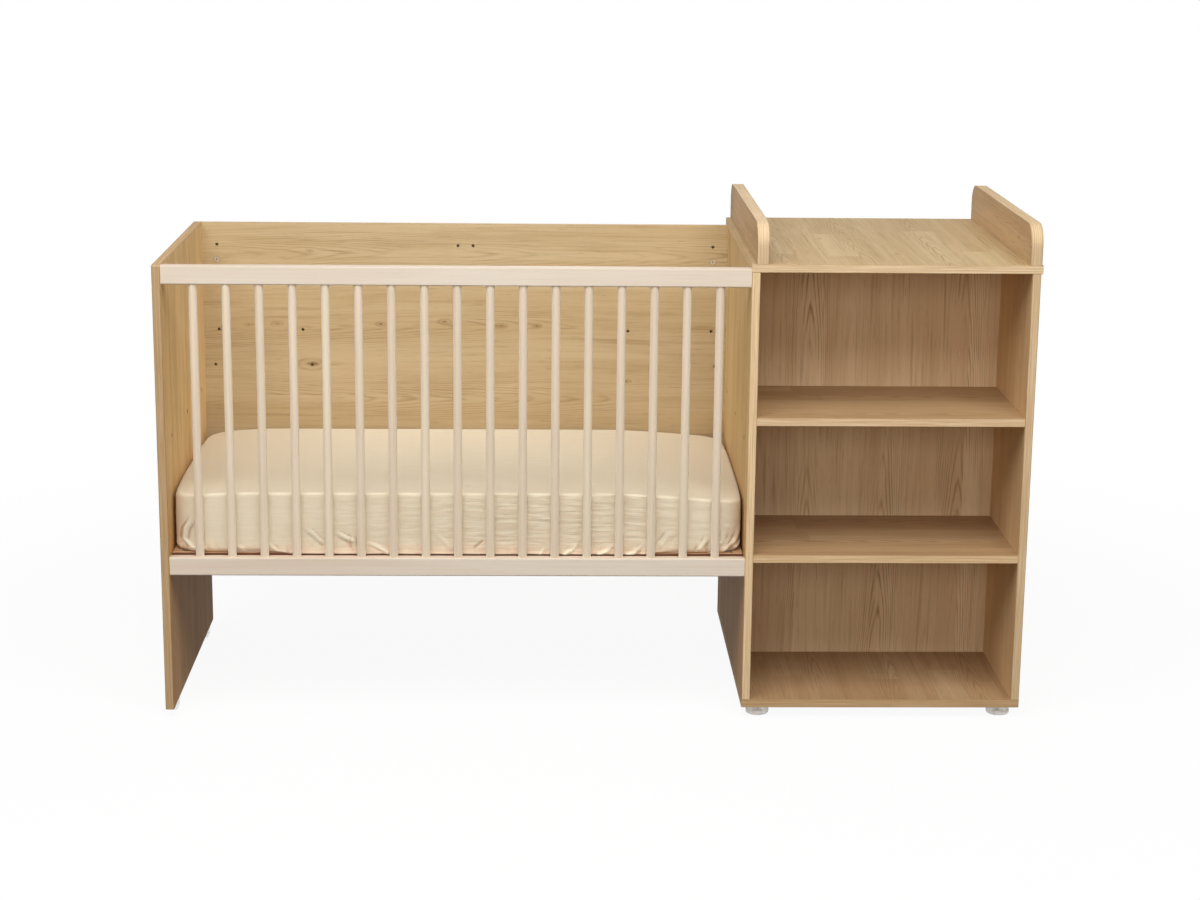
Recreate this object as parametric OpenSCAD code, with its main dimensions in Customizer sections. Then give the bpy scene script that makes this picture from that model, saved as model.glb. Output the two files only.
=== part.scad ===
/* [Crib] */
// Clear length between the two end panels
crib_l = 1224; // [900:1:1500]
// Depth of the crib, front edge to back face
crib_d = 650; // [560:1:700]
// Height of the left end panel
end_panel_h = 966; // [900:1:1100]
// Thickness of panels, shelves and the changer top
board_t = 18; // [16:1:22]
// Thickness of the crib's back panel
back_t = 16; // [14:1:20]
// Height of the bottom rail's and back panel's undersides above the end panel's foot
rail_raise = 300; // [240:1:400]
// Radius on the boards' long edges
edge_r = 1.2; // [0.4:0.1:2.5]
// Radius of the end panels' upper corners
corner_r = 3; // [1:0.5:8]

/* [Bars] */
// Height of the top and bottom rails
rail_h = 40; // [34:1:60]
// Thickness of the rails
rail_t = 22; // [20:1:30]
// Rails set back from the front edges of the end panels
rail_setback = 2; // [0:1:20]
// Number of bars
bar_n = 17; // [16:1:20]
// Distance of the first and last bar's centres from the end panels
bar_end = 64; // [40:0.5:74]
// Diameter of a bar
bar_d = 18; // [12:0.5:18]
// Depth of the bar holes in the rails
bar_seat = 12; // [8:1:20]

/* [Base and mattress] */
// Height of the slats above the bottom rail, at the lowest setting
base_rise = 4; // [0:1:30]
// Height of the base frame's rails
base_rail_h = 40; // [30:1:60]
// Width of the base frame's rails
base_rail_w = 20; // [16:1:30]
// Gap between the base and the pieces around it
base_gap = 3; // [2:0.5:6]
// Number of slats
slat_n = 10; // [8:1:12]
// Width of a slat
slat_w = 60; // [50:1:90]
// Thickness of a slat
slat_t = 9; // [7:0.5:14]
// Diameter of the base's support pins
pin_d = 10; // [8:0.5:12]
// Step between the height settings of the base
base_step = 140; // [80:5:140]
// Gap between the mattress and each end panel
mattress_end_gap = 12; // [6:0.5:20]
// Gap between the mattress and the bars, and the back panel
mattress_side_gap = 6; // [4:0.5:15]
// Thickness of the mattress at its middle
mattress_t = 127; // [80:1:160]
// Thickness of the fitted sheet
sheet_t = 1.2; // [0.8:0.1:2]

/* [Changer] */
// Width of the changer, over its sides
unit_w = 604; // [450:1:800]
// Depth of the changer
unit_d = 704; // [660:1:800]
// Height of the changer top's upper face above the crib's rail
top_step = 10; // [8:1:30]
// Clear depth of the shelves, front edge to the inner back
shelf_d = 331; // [250:1:420]
// Clear height of the bottom compartment
lower_opening_h = 307; // [220:1:380]
// Clear height of the middle compartment
middle_opening_h = 282; // [200:1:360]
// Thickness of the inner back
inner_back_t = 16; // [14:1:20]
// The changer top's overhang past the right side
top_overhang = 4; // [0:1:20]
// Height of the guards above the changer top
guard_h = 84; // [70:1:140]
// Thickness of the guards
guard_t = 25; // [18:1:30]
// Radius of the guards' upper corners
guard_r = 45; // [20:1:60]
// Left guard's distance from the left end of the top
guard_inset_left = 10; // [6:1:40]
// Right guard's distance from the right end of the top
guard_inset_right = 3; // [2:1:40]

/* [Feet] */
// Height of the changer's feet
foot_h = 24; // [20:1:50]
// Diameter of the changer's feet
foot_d = 50; // [40:1:60]
// Distance of the feet's centres from the changer's sides
foot_inset_x = 38; // [32:1:60]
// Distance of the feet's centres from the changer's front and back
foot_inset_y = 40; // [32:1:80]
// Height of the glides under the left end panel
glide_h = 18; // [8:1:30]
// Length of a glide
glide_l = 50; // [30:1:80]
// Distance of the glides from the panel's front and back edges
glide_inset = 48; // [30:1:120]

/* [Fasteners] */
// Diameter of the wooden dowels
dowel_d = 8; // [6:1:8]
// Length of dowel in the face of a board
dowel_in_face = 12; // [8:1:14]
// Length of dowel in the end of a board
dowel_in_end = 22; // [16:1:30]
// Diameter of the cam locks
cam_d = 15; // [12:0.5:15]
// Height of the cam locks
cam_h = 12; // [10:0.5:13]
// Distance of a cam lock's centre from the joint
cam_offset = 34; // [24:1:40]
// Diameter of the rail bolts
bolt_d = 6; // [5:0.5:6]
// Length of a guard or bottom screw
screw_l = 50; // [40:1:60]
// Clearance of a fastener in its hole, over the diameter
hole_play = 0.2; // [0.1:0.1:0.4]

/* [Hidden] */
$fn = 48;
function numbered(stem, i) = str(stem, i < 10 ? "_0" : "_", i);
OAK = [0.79, 0.64, 0.45];
PALE_WOOD = [0.93, 0.86, 0.77];
CREAM = [0.94, 0.89, 0.76];
WHITE = [0.96, 0.95, 0.92];
PLASTIC = [0.78, 0.77, 0.75];
STEEL = [0.72, 0.72, 0.72];

// Lengths along X run from the left panel's inner face, along Y from the front, along Z from the floor
crib_top_z = glide_h + end_panel_h;
rail_low_z = glide_h + rail_raise;
rail_high_z = crib_top_z - rail_h;
rail_mid_y = rail_setback + rail_t / 2;
rail_back_y = rail_setback + rail_t;
back_front_y = crib_d - back_t;
back_h = crib_top_z - rail_low_z;
unit_x = crib_l;
unit_right_x = unit_x + unit_w;
inside_left_x = unit_x + board_t;
inside_right_x = unit_right_x - board_t;
inside_w = inside_right_x - inside_left_x;
sides_z = foot_h + board_t;
top_z = crib_top_z + top_step - board_t;
lower_shelf_z = sides_z + lower_opening_h + board_t;
upper_shelf_z = lower_shelf_z + middle_opening_h + board_t;
sides_h = top_z - sides_z;
top_l = unit_w + top_overhang;
origin_x = (unit_x + top_l - board_t) / 2;
origin_y = unit_d / 2;

module placed() translate([-origin_x, -origin_y, 0]) children();

// ---- Outlines and boards -------------------------------------------------

// A rectangle whose four corners are true arcs
module round_rect(w, h, r) {
    translate([r, 0]) square([w - 2 * r, h]);
    translate([0, r]) square([w, h - 2 * r]);
    for (x = [r, w - r], y = [r, h - r]) translate([x, y]) circle(r);
}

// A rectangle with only its two upper corners rounded
module arch_rect(w, h, r) {
    square([w, h - r]);
    translate([r, 0]) square([w - 2 * r, h]);
    for (x = [r, w - r]) translate([x, h - r]) circle(r);
}

// An upright board in the YZ plane, its front and back edges rounded
module upright_board(t, d, h) linear_extrude(h) round_rect(t, d, edge_r);

// The same board with its two upper corners rounded as seen from the side
module arched_board(t, d, h, corner) {
    intersection() {
        upright_board(t, d, h);
        rotate([90, 0, 90]) linear_extrude(t) arch_rect(d, h, corner);
    }
}

// A board that lies flat, its front and back edges rounded
module flat_board(l, d, t) rotate([90, 0, 90]) linear_extrude(l) round_rect(d, t, edge_r);

// A rail along X with rounded long edges
module rail(l, d, h, r) rotate([90, 0, 90]) linear_extrude(l) round_rect(d, h, r);

// ---- Joints ---------------------------------------------------------------
// A joint is [point, into, face]: a point on the face that the fastener enters, the direction
// into the end of the other board, and the direction of the face that the cam is turned from.

module at_joint(j) {
    z = j[1];
    x = j[2];
    y = cross(z, x);
    p = j[0];
    multmatrix([
        [x[0], y[0], z[0], p[0]],
        [x[1], y[1], z[1], p[1]],
        [x[2], y[2], z[2], p[2]],
        [0, 0, 0, 1]
    ]) children();
}

RIGHT = [1, 0, 0];
LEFT = [-1, 0, 0];
FORWARD = [0, -1, 0];
BACK = [0, 1, 0];
UP = [0, 0, 1];
DOWN = [0, 0, -1];

module dowel_at(j, play = 0) {
    at_joint(j) translate([0, 0, -dowel_in_face - play])
        cylinder(d = dowel_d + play, h = dowel_in_face + dowel_in_end + 2 * play);
}
module dowel_set(joints, play = 0) for (j = joints) dowel_at(j, play);

// Cam bolt: thread in the face, collar, neck and head in the cam
thread_l = 10;
thread_d = 5;
neck_d = 6;
head_d = 7;
head_l = 4;
module cam_bolt_at(j) {
    at_joint(j) {
        translate([0, 0, -thread_l]) cylinder(d = thread_d, h = thread_l);
        cylinder(d = neck_d, h = cam_offset - head_l / 2);
        translate([0, 0, cam_offset - head_l / 2]) cylinder(d = head_d, h = head_l);
    }
}
module cam_bolt_space(j) {
    at_joint(j) {
        translate([0, 0, -thread_l - hole_play]) cylinder(d = thread_d + hole_play, h = thread_l + 1);
        cylinder(d = head_d + 2 * hole_play, h = cam_offset + head_l / 2);
    }
}
// The cam's turning face is flush with the board's face, half a board from the bolt
module cam_space(j, t) {
    at_joint(j) translate([t / 2 - cam_h - hole_play, 0, cam_offset]) rotate([0, 90, 0])
        cylinder(d = cam_d + hole_play, h = cam_h + 1);
}
cam_slot_w = 1.8;
cam_slot_l = 10;
cam_slot_deep = 2.5;
module cam_at(j, t) {
    difference() {
        at_joint(j) translate([t / 2 - cam_h, 0, cam_offset]) rotate([0, 90, 0])
            cylinder(d = cam_d, h = cam_h);
        at_joint(j) translate([0, 0, cam_offset - cam_d])
            cylinder(d = head_d + 2 * hole_play, h = cam_d + head_l);
        at_joint(j) translate([t / 2 - cam_slot_deep, 0, cam_offset])
            for (turn = [0, 90]) rotate([turn, 0, 0]) translate([0, -cam_slot_w / 2, -cam_slot_l / 2])
                cube([cam_slot_deep + 1, cam_slot_w, cam_slot_l]);
    }
}

// Rail joints, two at each end of each rail: a bolt in a barrel nut, and a dowel below it
rail_bolt_up = 20;
rail_dowel_up = 8;
rail_zs = [rail_high_z, rail_low_z];
rail_bolts_left = [for (z = rail_zs) [[0, rail_mid_y, z + rail_bolt_up], RIGHT, BACK]];
rail_bolts_right = [for (z = rail_zs) [[unit_x, rail_mid_y, z + rail_bolt_up], LEFT, BACK]];
rail_dowels_left = [for (z = rail_zs) [[0, rail_mid_y, z + rail_dowel_up], RIGHT, BACK]];
rail_dowels_right = [for (z = rail_zs) [[unit_x, rail_mid_y, z + rail_dowel_up], LEFT, BACK]];
bolt_reach = 34;
bolt_head_d = 13;
bolt_head_h = 5;
hex_d = 5;
nut_d = 10;
nut_l = 15;
nut_offset = 28;
module rail_bolt_at(j) {
    at_joint(j) difference() {
        union() {
            translate([0, 0, -board_t + 0.5]) cylinder(d = bolt_head_d, h = bolt_head_h);
            translate([0, 0, -board_t + bolt_head_h])
                cylinder(d = bolt_d, h = board_t - bolt_head_h + bolt_reach);
        }
        translate([0, 0, -board_t]) cylinder(d = hex_d, h = bolt_head_h - 1, $fn = 6);
    }
}
module rail_bolt_space(j) {
    at_joint(j) {
        translate([0, 0, -board_t - 1]) cylinder(d = bolt_head_d + 2 * hole_play, h = bolt_head_h + 1.5);
        translate([0, 0, -board_t]) cylinder(d = bolt_d + 2 * hole_play, h = board_t + bolt_reach + 1);
    }
}
module barrel_nut_at(j) {
    difference() {
        at_joint(j) translate([-nut_l / 2, 0, nut_offset]) rotate([0, 90, 0]) cylinder(d = nut_d, h = nut_l);
        at_joint(j) cylinder(d = bolt_d + hole_play, h = nut_offset + nut_d);
        at_joint(j) translate([nut_l / 2 - 2, -0.6, nut_offset - 4]) cube([3, 1.2, 8]);
    }
}
module barrel_nut_space(j) {
    at_joint(j) translate([-nut_l / 2 - hole_play, 0, nut_offset]) rotate([0, 90, 0])
        cylinder(d = nut_d + hole_play, h = nut_l + rail_t);
}

// The back panel stands between the end panels on cams and dowels
back_mid_y = back_front_y + back_t / 2;
back_cam_edge = 86;
back_dowel_edge = 40;
back_cam_zs = [crib_top_z - back_cam_edge, rail_low_z + back_cam_edge];
back_dowel_zs = [crib_top_z - back_dowel_edge, (crib_top_z + rail_low_z) / 2, rail_low_z + back_dowel_edge];
back_cams_left = [for (z = back_cam_zs) [[0, back_mid_y, z], RIGHT, FORWARD]];
back_cams_right = [for (z = back_cam_zs) [[unit_x, back_mid_y, z], LEFT, FORWARD]];
back_dowels_left = [for (z = back_dowel_zs) [[0, back_mid_y, z], RIGHT, FORWARD]];
back_dowels_right = [for (z = back_dowel_zs) [[unit_x, back_mid_y, z], LEFT, FORWARD]];

// The changer top lies on the sides: dowels along its depth, cams behind the inner back
side_xs = [unit_x + board_t / 2, unit_right_x - board_t / 2];
side_faces = [RIGHT, LEFT];
side_dowel_ys = [60, shelf_d - 60, unit_d - 60];
side_cam_ys = [shelf_d + 90, unit_d - 110];
top_dowels = [for (x = side_xs, y = side_dowel_ys) [[x, y, top_z], DOWN, RIGHT]];
top_cams = [for (s = [0, 1], y = side_cam_ys) [[side_xs[s], y, top_z], DOWN, side_faces[s]]];
bottom_dowels = [for (x = side_xs, y = side_dowel_ys) [[x, y, sides_z], UP, RIGHT]];
bottom_screw_ys = [120, unit_d - 120];
bottom_screws = [for (x = side_xs, y = bottom_screw_ys) [x, y, foot_h]];

// Each shelf end has two cams, turned from below, and a dowel between them
shelf_cam_ys = [45, shelf_d - 45];
function shelf_cams_left(z) = [for (y = shelf_cam_ys) [[inside_left_x, y, z - board_t / 2], RIGHT, DOWN]];
function shelf_cams_right(z) = [for (y = shelf_cam_ys) [[inside_right_x, y, z - board_t / 2], LEFT, DOWN]];
function shelf_dowels_left(z) = [[[inside_left_x, shelf_d / 2, z - board_t / 2], RIGHT, DOWN]];
function shelf_dowels_right(z) = [[[inside_right_x, shelf_d / 2, z - board_t / 2], LEFT, DOWN]];
shelf_zs = [lower_shelf_z, upper_shelf_z];

// The inner back stands on dowels, with dowels at both sides and under the top
inner_mid_y = shelf_d + inner_back_t / 2;
inner_side_zs = [for (k = [1, 3, 5]) sides_z + sides_h * k / 6];
inner_dowels_left = [for (z = inner_side_zs) [[inside_left_x, inner_mid_y, z], RIGHT, BACK]];
inner_dowels_right = [for (z = inner_side_zs) [[inside_right_x, inner_mid_y, z], LEFT, BACK]];
inner_xs = [inside_left_x + inside_w / 4, inside_right_x - inside_w / 4];
inner_dowels_low = [for (x = inner_xs) [[x, inner_mid_y, sides_z], UP, BACK]];
inner_dowels_high = [for (x = inner_xs) [[x, inner_mid_y, top_z], DOWN, BACK]];

// The guards are screwed on from under the top
guard_left_x = unit_x + guard_inset_left;
guard_right_x = unit_x + top_l - guard_inset_right - guard_t;
guard_screw_ys = [80, shelf_d - 30, unit_d - 80];
guard_screws_left = [for (y = guard_screw_ys) [guard_left_x + guard_t / 2, y, top_z]];
guard_screws_right = [for (y = guard_screw_ys) [guard_right_x + guard_t / 2, y, top_z]];
screw_d = 7;
screw_head_d = 10;
screw_head_h = 3;
screw_core_d = 5;
module long_screw(play = 0) {
    rotate_extrude() polygon([
        [0, -play],
        [screw_head_d / 2 + play, -play],
        [screw_head_d / 2 + play, 0.5],
        [screw_d / 2 + play, screw_head_h + 0.5],
        [screw_d / 2 + play, board_t],
        [screw_core_d / 2 + play, board_t + 1],
        [screw_core_d / 2 + play, screw_l - 2],
        [1.5, screw_l],
        [0, screw_l]
    ]);
}
module long_screw_set(points) {
    for (p = points) translate(p) difference() {
        long_screw();
        translate([0, 0, -1]) cylinder(d = 4, h = 3.5, $fn = 6);
    }
}
module long_screw_spaces(points) for (p = points) translate(p) long_screw(hole_play / 2);

// ---- Crib -----------------------------------------------------------------

// The base rests on pins in the end panels, with two higher rows of holes
pin_in_panel = 10;
pin_out = 16;
pin_ys = [rail_back_y + 70, (rail_back_y + back_front_y) / 2, back_front_y - 70];
base_z = rail_low_z + rail_h + base_rise;
base_low_z = base_z - base_rail_h;
pin_rise = 1;
pin_z = base_low_z + pin_rise;
pin_rows = [0, 1, 2];
module pin_holes(x) {
    for (y = pin_ys, k = pin_rows) translate([x, y, pin_z + k * base_step]) rotate([0, 90, 0])
        cylinder(d = pin_d + hole_play, h = 2 * (pin_in_panel + hole_play), center = true);
}

module left_end_panel() {
    color(OAK) placed() difference() {
        translate([-board_t, 0, glide_h]) arched_board(board_t, crib_d, end_panel_h, corner_r);
        for (j = rail_bolts_left) rail_bolt_space(j);
        dowel_set(rail_dowels_left, hole_play);
        for (j = back_cams_left) cam_bolt_space(j);
        dowel_set(back_dowels_left, hole_play);
        pin_holes(0);
        for (y = glide_ys) translate([-board_t / 2, y, glide_h - 1])
            cylinder(d = glide_stem_d + hole_play, h = glide_stem_l + 1 + hole_play);
    }
}

module shared_side_panel() {
    color(OAK) placed() difference() {
        translate([unit_x, 0, sides_z]) upright_board(board_t, unit_d, sides_h);
        for (j = rail_bolts_right) rail_bolt_space(j);
        dowel_set(rail_dowels_right, hole_play);
        for (j = back_cams_right) cam_bolt_space(j);
        dowel_set(back_dowels_right, hole_play);
        pin_holes(unit_x);
        side_fastener_spaces(0);
        for (z = shelf_zs) {
            for (j = shelf_cams_left(z)) cam_bolt_space(j);
            dowel_set(shelf_dowels_left(z), hole_play);
        }
        dowel_set(inner_dowels_left, hole_play);
    }
}

// What the top and the bottom fasten into, in one side
module side_fastener_spaces(s) {
    n = len(side_dowel_ys);
    m = len(side_cam_ys);
    for (k = [0:n - 1]) {
        dowel_at(top_dowels[s * n + k], hole_play);
        dowel_at(bottom_dowels[s * n + k], hole_play);
    }
    for (k = [0:m - 1]) {
        cam_bolt_space(top_cams[s * m + k]);
        cam_space(top_cams[s * m + k], board_t);
    }
    long_screw_spaces([for (k = [0, 1]) bottom_screws[s * 2 + k]]);
}

// Small blind holes for the later bed, in mirrored pairs: distance from the end and from the top
spare_hole_d = 7;
spare_hole_deep = 12;
spare_high = 51;
spare_mid = 251;
spare_low = 335;
spare_holes = [
    [35, spare_high],
    [crib_l / 2 - 17.5, spare_high],
    [35, spare_mid],
    [231, spare_mid],
    [25, spare_low],
    [251, spare_low]
];

module crib_back_panel() {
    color(OAK) placed() difference() {
        translate([0, back_front_y, rail_low_z]) flat_board(crib_l, back_t, back_h);
        for (j = concat(back_cams_left, back_cams_right)) {
            cam_bolt_space(j);
            cam_space(j, back_t);
        }
        dowel_set(concat(back_dowels_left, back_dowels_right), hole_play);
        for (h = spare_holes, x = [h[0], crib_l - h[0]]) translate([x, back_front_y - 1, crib_top_z - h[1]])
            rotate([-90, 0, 0]) cylinder(d = spare_hole_d, h = spare_hole_deep + 1);
    }
}

bar_pitch = (crib_l - 2 * bar_end) / (bar_n - 1);
function bar_x(i) = bar_end + (i - 1) * bar_pitch;
rail_r = 3;
module rail_spaces() {
    for (j = concat(rail_bolts_left, rail_bolts_right)) {
        rail_bolt_space(j);
        barrel_nut_space(j);
    }
    dowel_set(concat(rail_dowels_left, rail_dowels_right), hole_play);
}
module top_rail() {
    color(PALE_WOOD) placed() difference() {
        translate([0, rail_setback, rail_high_z]) rail(crib_l, rail_t, rail_h, rail_r);
        for (i = [1:bar_n]) translate([bar_x(i), rail_mid_y, rail_high_z - 1])
            cylinder(d = bar_d + hole_play, h = bar_seat + 1 + hole_play);
        rail_spaces();
    }
}
module bottom_rail() {
    color(PALE_WOOD) placed() difference() {
        translate([0, rail_setback, rail_low_z]) rail(crib_l, rail_t, rail_h, rail_r);
        for (i = [1:bar_n]) translate([bar_x(i), rail_mid_y, rail_low_z + rail_h - bar_seat - hole_play])
            cylinder(d = bar_d + hole_play, h = bar_seat + 1 + hole_play);
        rail_spaces();
    }
}
bar_low_z = rail_low_z + rail_h - bar_seat;
bar_high_z = rail_high_z + bar_seat;
module bar(i) {
    color(PALE_WOOD) placed() translate([bar_x(i), rail_mid_y, bar_low_z])
        cylinder(d = bar_d, h = bar_high_z - bar_low_z);
}

// ---- Slatted base ---------------------------------------------------------

base_x = base_gap;
base_l = crib_l - 2 * base_gap;
base_front_y = rail_back_y + base_gap;
base_back_y = back_front_y - base_gap;
base_w = base_back_y - base_front_y;
slat_ledge = base_rail_w / 2;
slat_gap = (base_l - 2 * base_rail_w - slat_n * slat_w) / (slat_n + 1);
slat_play = 0.3;
notch_play = 0.6;
base_dowel_z = base_low_z + base_rail_h / 2;
base_dowel_l = 40;
base_dowel_d = 8;
base_dowel_cover = 4;
base_dowel_mid_ys = [
    base_front_y + base_dowel_cover + base_dowel_l / 2,
    base_back_y - base_dowel_cover - base_dowel_l / 2
];
base_corner_xs = [base_x + base_rail_w / 2, base_x + base_l - base_rail_w / 2];
module base_dowel_set(play = 0) {
    for (x = base_corner_xs, y = base_dowel_mid_ys) translate([x, y, base_dowel_z]) rotate([90, 0, 0])
        cylinder(d = base_dowel_d + play, h = base_dowel_l + 2 * play, center = true);
}
// A side rail's section: the slats lie on the ledge along its inner edge
module base_long_rail(inner) {
    mirror([0, inner, 0]) rotate([90, 0, 90]) linear_extrude(base_l) polygon([
        [0, 0],
        [base_rail_w, 0],
        [base_rail_w, base_rail_h - slat_t - slat_play],
        [base_rail_w - slat_ledge, base_rail_h - slat_t - slat_play],
        [base_rail_w - slat_ledge, base_rail_h],
        [0, base_rail_h]
    ]);
}
module base_front_rail() {
    color(PALE_WOOD) placed() difference() {
        translate([base_x, base_front_y, base_low_z]) base_long_rail(0);
        base_dowel_set(hole_play);
    }
}
module base_rear_rail() {
    color(PALE_WOOD) placed() difference() {
        translate([base_x, base_back_y, base_low_z]) base_long_rail(1);
        base_dowel_set(hole_play);
    }
}
// An end rail has three round notches that sit over the support pins
module base_end_rail(x) {
    difference() {
        translate([x, base_front_y + base_rail_w, base_low_z])
            cube([base_rail_w, base_w - 2 * base_rail_w, base_rail_h]);
        for (y = pin_ys) translate([x - 1, y, pin_z]) rotate([0, 90, 0])
            cylinder(d = pin_d + notch_play, h = base_rail_w + 2);
        base_dowel_set(hole_play);
    }
}
module base_left_rail() color(PALE_WOOD) placed() base_end_rail(base_x);
module base_right_rail() color(PALE_WOOD) placed() base_end_rail(base_x + base_l - base_rail_w);
module slat(i) {
    x = base_x + base_rail_w + slat_gap + (i - 1) * (slat_w + slat_gap);
    y = base_front_y + base_rail_w - slat_ledge + slat_play;
    color(PALE_WOOD) placed() translate([x, y, base_z - slat_t])
        rotate([-90, 0, 0]) translate([0, -slat_t, 0])
        linear_extrude(base_w - 2 * (base_rail_w - slat_ledge) - 2 * slat_play) round_rect(slat_w, slat_t, 2);
}
module base_dowels() color(PALE_WOOD) placed() base_dowel_set();
module base_support_pins() {
    color(STEEL) placed() for (y = pin_ys) {
        translate([-pin_in_panel, y, pin_z]) rotate([0, 90, 0])
            cylinder(d = pin_d, h = pin_in_panel + pin_out);
        translate([unit_x + pin_in_panel, y, pin_z]) rotate([0, -90, 0])
            cylinder(d = pin_d, h = pin_in_panel + pin_out);
    }
}

// ---- Mattress and fitted sheet --------------------------------------------
// Rings round the mattress, from its underside to the middle of its crown:
// [drawn in along X, drawn in along Y, share of the thickness, depth of the corner gathers]
mattress_rings = [
    [26, 26, 0, 0],
    [8, 8, 0.02, 2.2],
    [2, 2, 0.1, 2.6],
    [0, 0, 0.32, 1.2],
    [1, 0.6, 0.62, 0.4],
    [6, 3.5, 0.79, 0],
    [16, 9, 0.89, 0],
    [38, 22, 0.945, 0],
    [84, 52, 0.972, 0],
    [170, 110, 0.99, 0],
    [320, 190, 1, 0]
];
mattress_corner_r = 46;
corner_steps = 7;
long_steps = 8;
short_steps = 4;
sheet_gap = 0.3;
sheet_grow = sheet_gap + sheet_t;

// A point on a rounded rectangle's corner arc, every second one drawn in by the gathers
function corner_point(hx, hy, r, q, k, pleat) =
    let (a = q * 90 + 90 * k / (corner_steps - 1))
    let (sx = q == 0 || q == 3 ? 1 : -1)
    let (sy = q < 2 ? 1 : -1)
    let (rr = r - (k % 2 == 1 ? pleat : 0))
    [sx * (hx - r) + rr * cos(a), sy * (hy - r) + rr * sin(a)];
function corner_arc(hx, hy, r, q, pleat) =
    [for (k = [0:corner_steps - 1]) corner_point(hx, hy, r, q, k, pleat)];
function along(a, b, n) = [for (k = [1:n]) a + (b - a) * k / (n + 1)];
function ring_outline(hx, hy, r, pleat) =
    let (c = [for (q = [0:3]) corner_arc(hx, hy, r, q, pleat)])
    let (last = corner_steps - 1)
    concat(
        c[0], along(c[0][last], c[1][0], long_steps),
        c[1], along(c[1][last], c[2][0], short_steps),
        c[2], along(c[2][last], c[3][0], long_steps),
        c[3], along(c[3][last], c[0][0], short_steps)
    );
ring_size = 4 * corner_steps + 2 * long_steps + 2 * short_steps;
function ring_points(ring, grow) =
    let (hx = mattress_l / 2 - ring[0] + grow)
    let (hy = mattress_w / 2 - ring[1] + grow)
    let (r = max(10, mattress_corner_r - ring[1] / 4) + grow)
    let (z = ring[2] * (mattress_t + 2 * grow) - grow)
    [for (p = ring_outline(hx, hy, r, ring[3])) [p[0], p[1], z]];
module mattress_form(grow) {
    n = ring_size;
    rings = len(mattress_rings);
    outline = [for (ring = mattress_rings) each ring_points(ring, grow)];
    low = n * rings;
    high = low + 1;
    points = concat(outline, [[0, 0, -grow], [0, 0, mattress_t + grow]]);
    sides = [for (k = [0:rings - 2], i = [0:n - 1])
        each [
            [k * n + i, (k + 1) * n + i, (k + 1) * n + (i + 1) % n],
            [k * n + i, (k + 1) * n + (i + 1) % n, k * n + (i + 1) % n]
        ]];
    underside = [for (i = [0:n - 1]) [low, i, (i + 1) % n]];
    crown = [for (i = [0:n - 1]) [high, (rings - 1) * n + (i + 1) % n, (rings - 1) * n + i]];
    polyhedron(points, concat(sides, underside, crown));
}
mattress_l = crib_l - 2 * mattress_end_gap;
mattress_w = back_front_y - rail_back_y - 2 * mattress_side_gap;
mattress_x = crib_l / 2;
mattress_y = (rail_back_y + back_front_y) / 2;
mattress_z = base_z + sheet_gap + sheet_grow;
module mattress() {
    color(WHITE) placed() translate([mattress_x, mattress_y, mattress_z]) mattress_form(0);
}
// The sheet wraps the mattress and turns in under it, open in the middle of the underside
sheet_turn_in = 80;
sheet_opening_r = 60;
module fitted_sheet() {
    hole_l = mattress_l - 2 * sheet_turn_in;
    hole_w = mattress_w - 2 * sheet_turn_in;
    color(CREAM) placed() translate([mattress_x, mattress_y, mattress_z]) difference() {
        mattress_form(sheet_grow);
        mattress_form(sheet_gap);
        translate([-hole_l / 2, -hole_w / 2, -sheet_grow - 1]) linear_extrude(sheet_grow + 1)
            round_rect(hole_l, hole_w, sheet_opening_r);
    }
}

// ---- Changer --------------------------------------------------------------

module right_side_panel() {
    color(OAK) placed() difference() {
        translate([inside_right_x, 0, sides_z]) upright_board(board_t, unit_d, sides_h);
        side_fastener_spaces(1);
        for (z = shelf_zs) {
            for (j = shelf_cams_right(z)) cam_bolt_space(j);
            dowel_set(shelf_dowels_right(z), hole_play);
        }
        dowel_set(inner_dowels_right, hole_play);
    }
}
foot_xs = [unit_x + foot_inset_x, unit_right_x - foot_inset_x];
foot_ys = [foot_inset_y, unit_d - foot_inset_y];
module unit_bottom() {
    color(OAK) placed() difference() {
        translate([unit_x, 0, foot_h]) flat_board(unit_w, unit_d, board_t);
        dowel_set(concat(bottom_dowels, inner_dowels_low), hole_play);
        long_screw_spaces(bottom_screws);
        for (x = foot_xs, y = foot_ys) translate([x, y, 0]) foot_screw_space();
    }
}
module changer_top() {
    color(OAK) placed() difference() {
        translate([unit_x, 0, top_z]) flat_board(top_l, unit_d, board_t);
        dowel_set(concat(top_dowels, inner_dowels_high), hole_play);
        for (j = top_cams) cam_bolt_space(j);
        long_screw_spaces(concat(guard_screws_left, guard_screws_right));
    }
}
module shelf(z) {
    color(OAK) placed() difference() {
        translate([inside_left_x, 0, z - board_t]) flat_board(inside_w, shelf_d, board_t);
        for (j = concat(shelf_cams_left(z), shelf_cams_right(z))) {
            cam_bolt_space(j);
            cam_space(j, board_t);
        }
        dowel_set(concat(shelf_dowels_left(z), shelf_dowels_right(z)), hole_play);
    }
}
module lower_shelf() shelf(lower_shelf_z);
module upper_shelf() shelf(upper_shelf_z);
module inner_back() {
    color(OAK) placed() difference() {
        translate([inside_left_x, shelf_d, sides_z]) cube([inside_w, inner_back_t, sides_h]);
        dowel_set(concat(inner_dowels_left, inner_dowels_right, inner_dowels_low, inner_dowels_high), hole_play);
    }
}
module guard(x, screws) {
    color(OAK) placed() difference() {
        translate([x, 0, top_z + board_t]) arched_board(guard_t, unit_d, guard_h, guard_r);
        long_screw_spaces(screws);
    }
}
module left_guard() guard(guard_left_x, guard_screws_left);
module right_guard() guard(guard_right_x, guard_screws_right);

// ---- Feet -----------------------------------------------------------------

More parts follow.
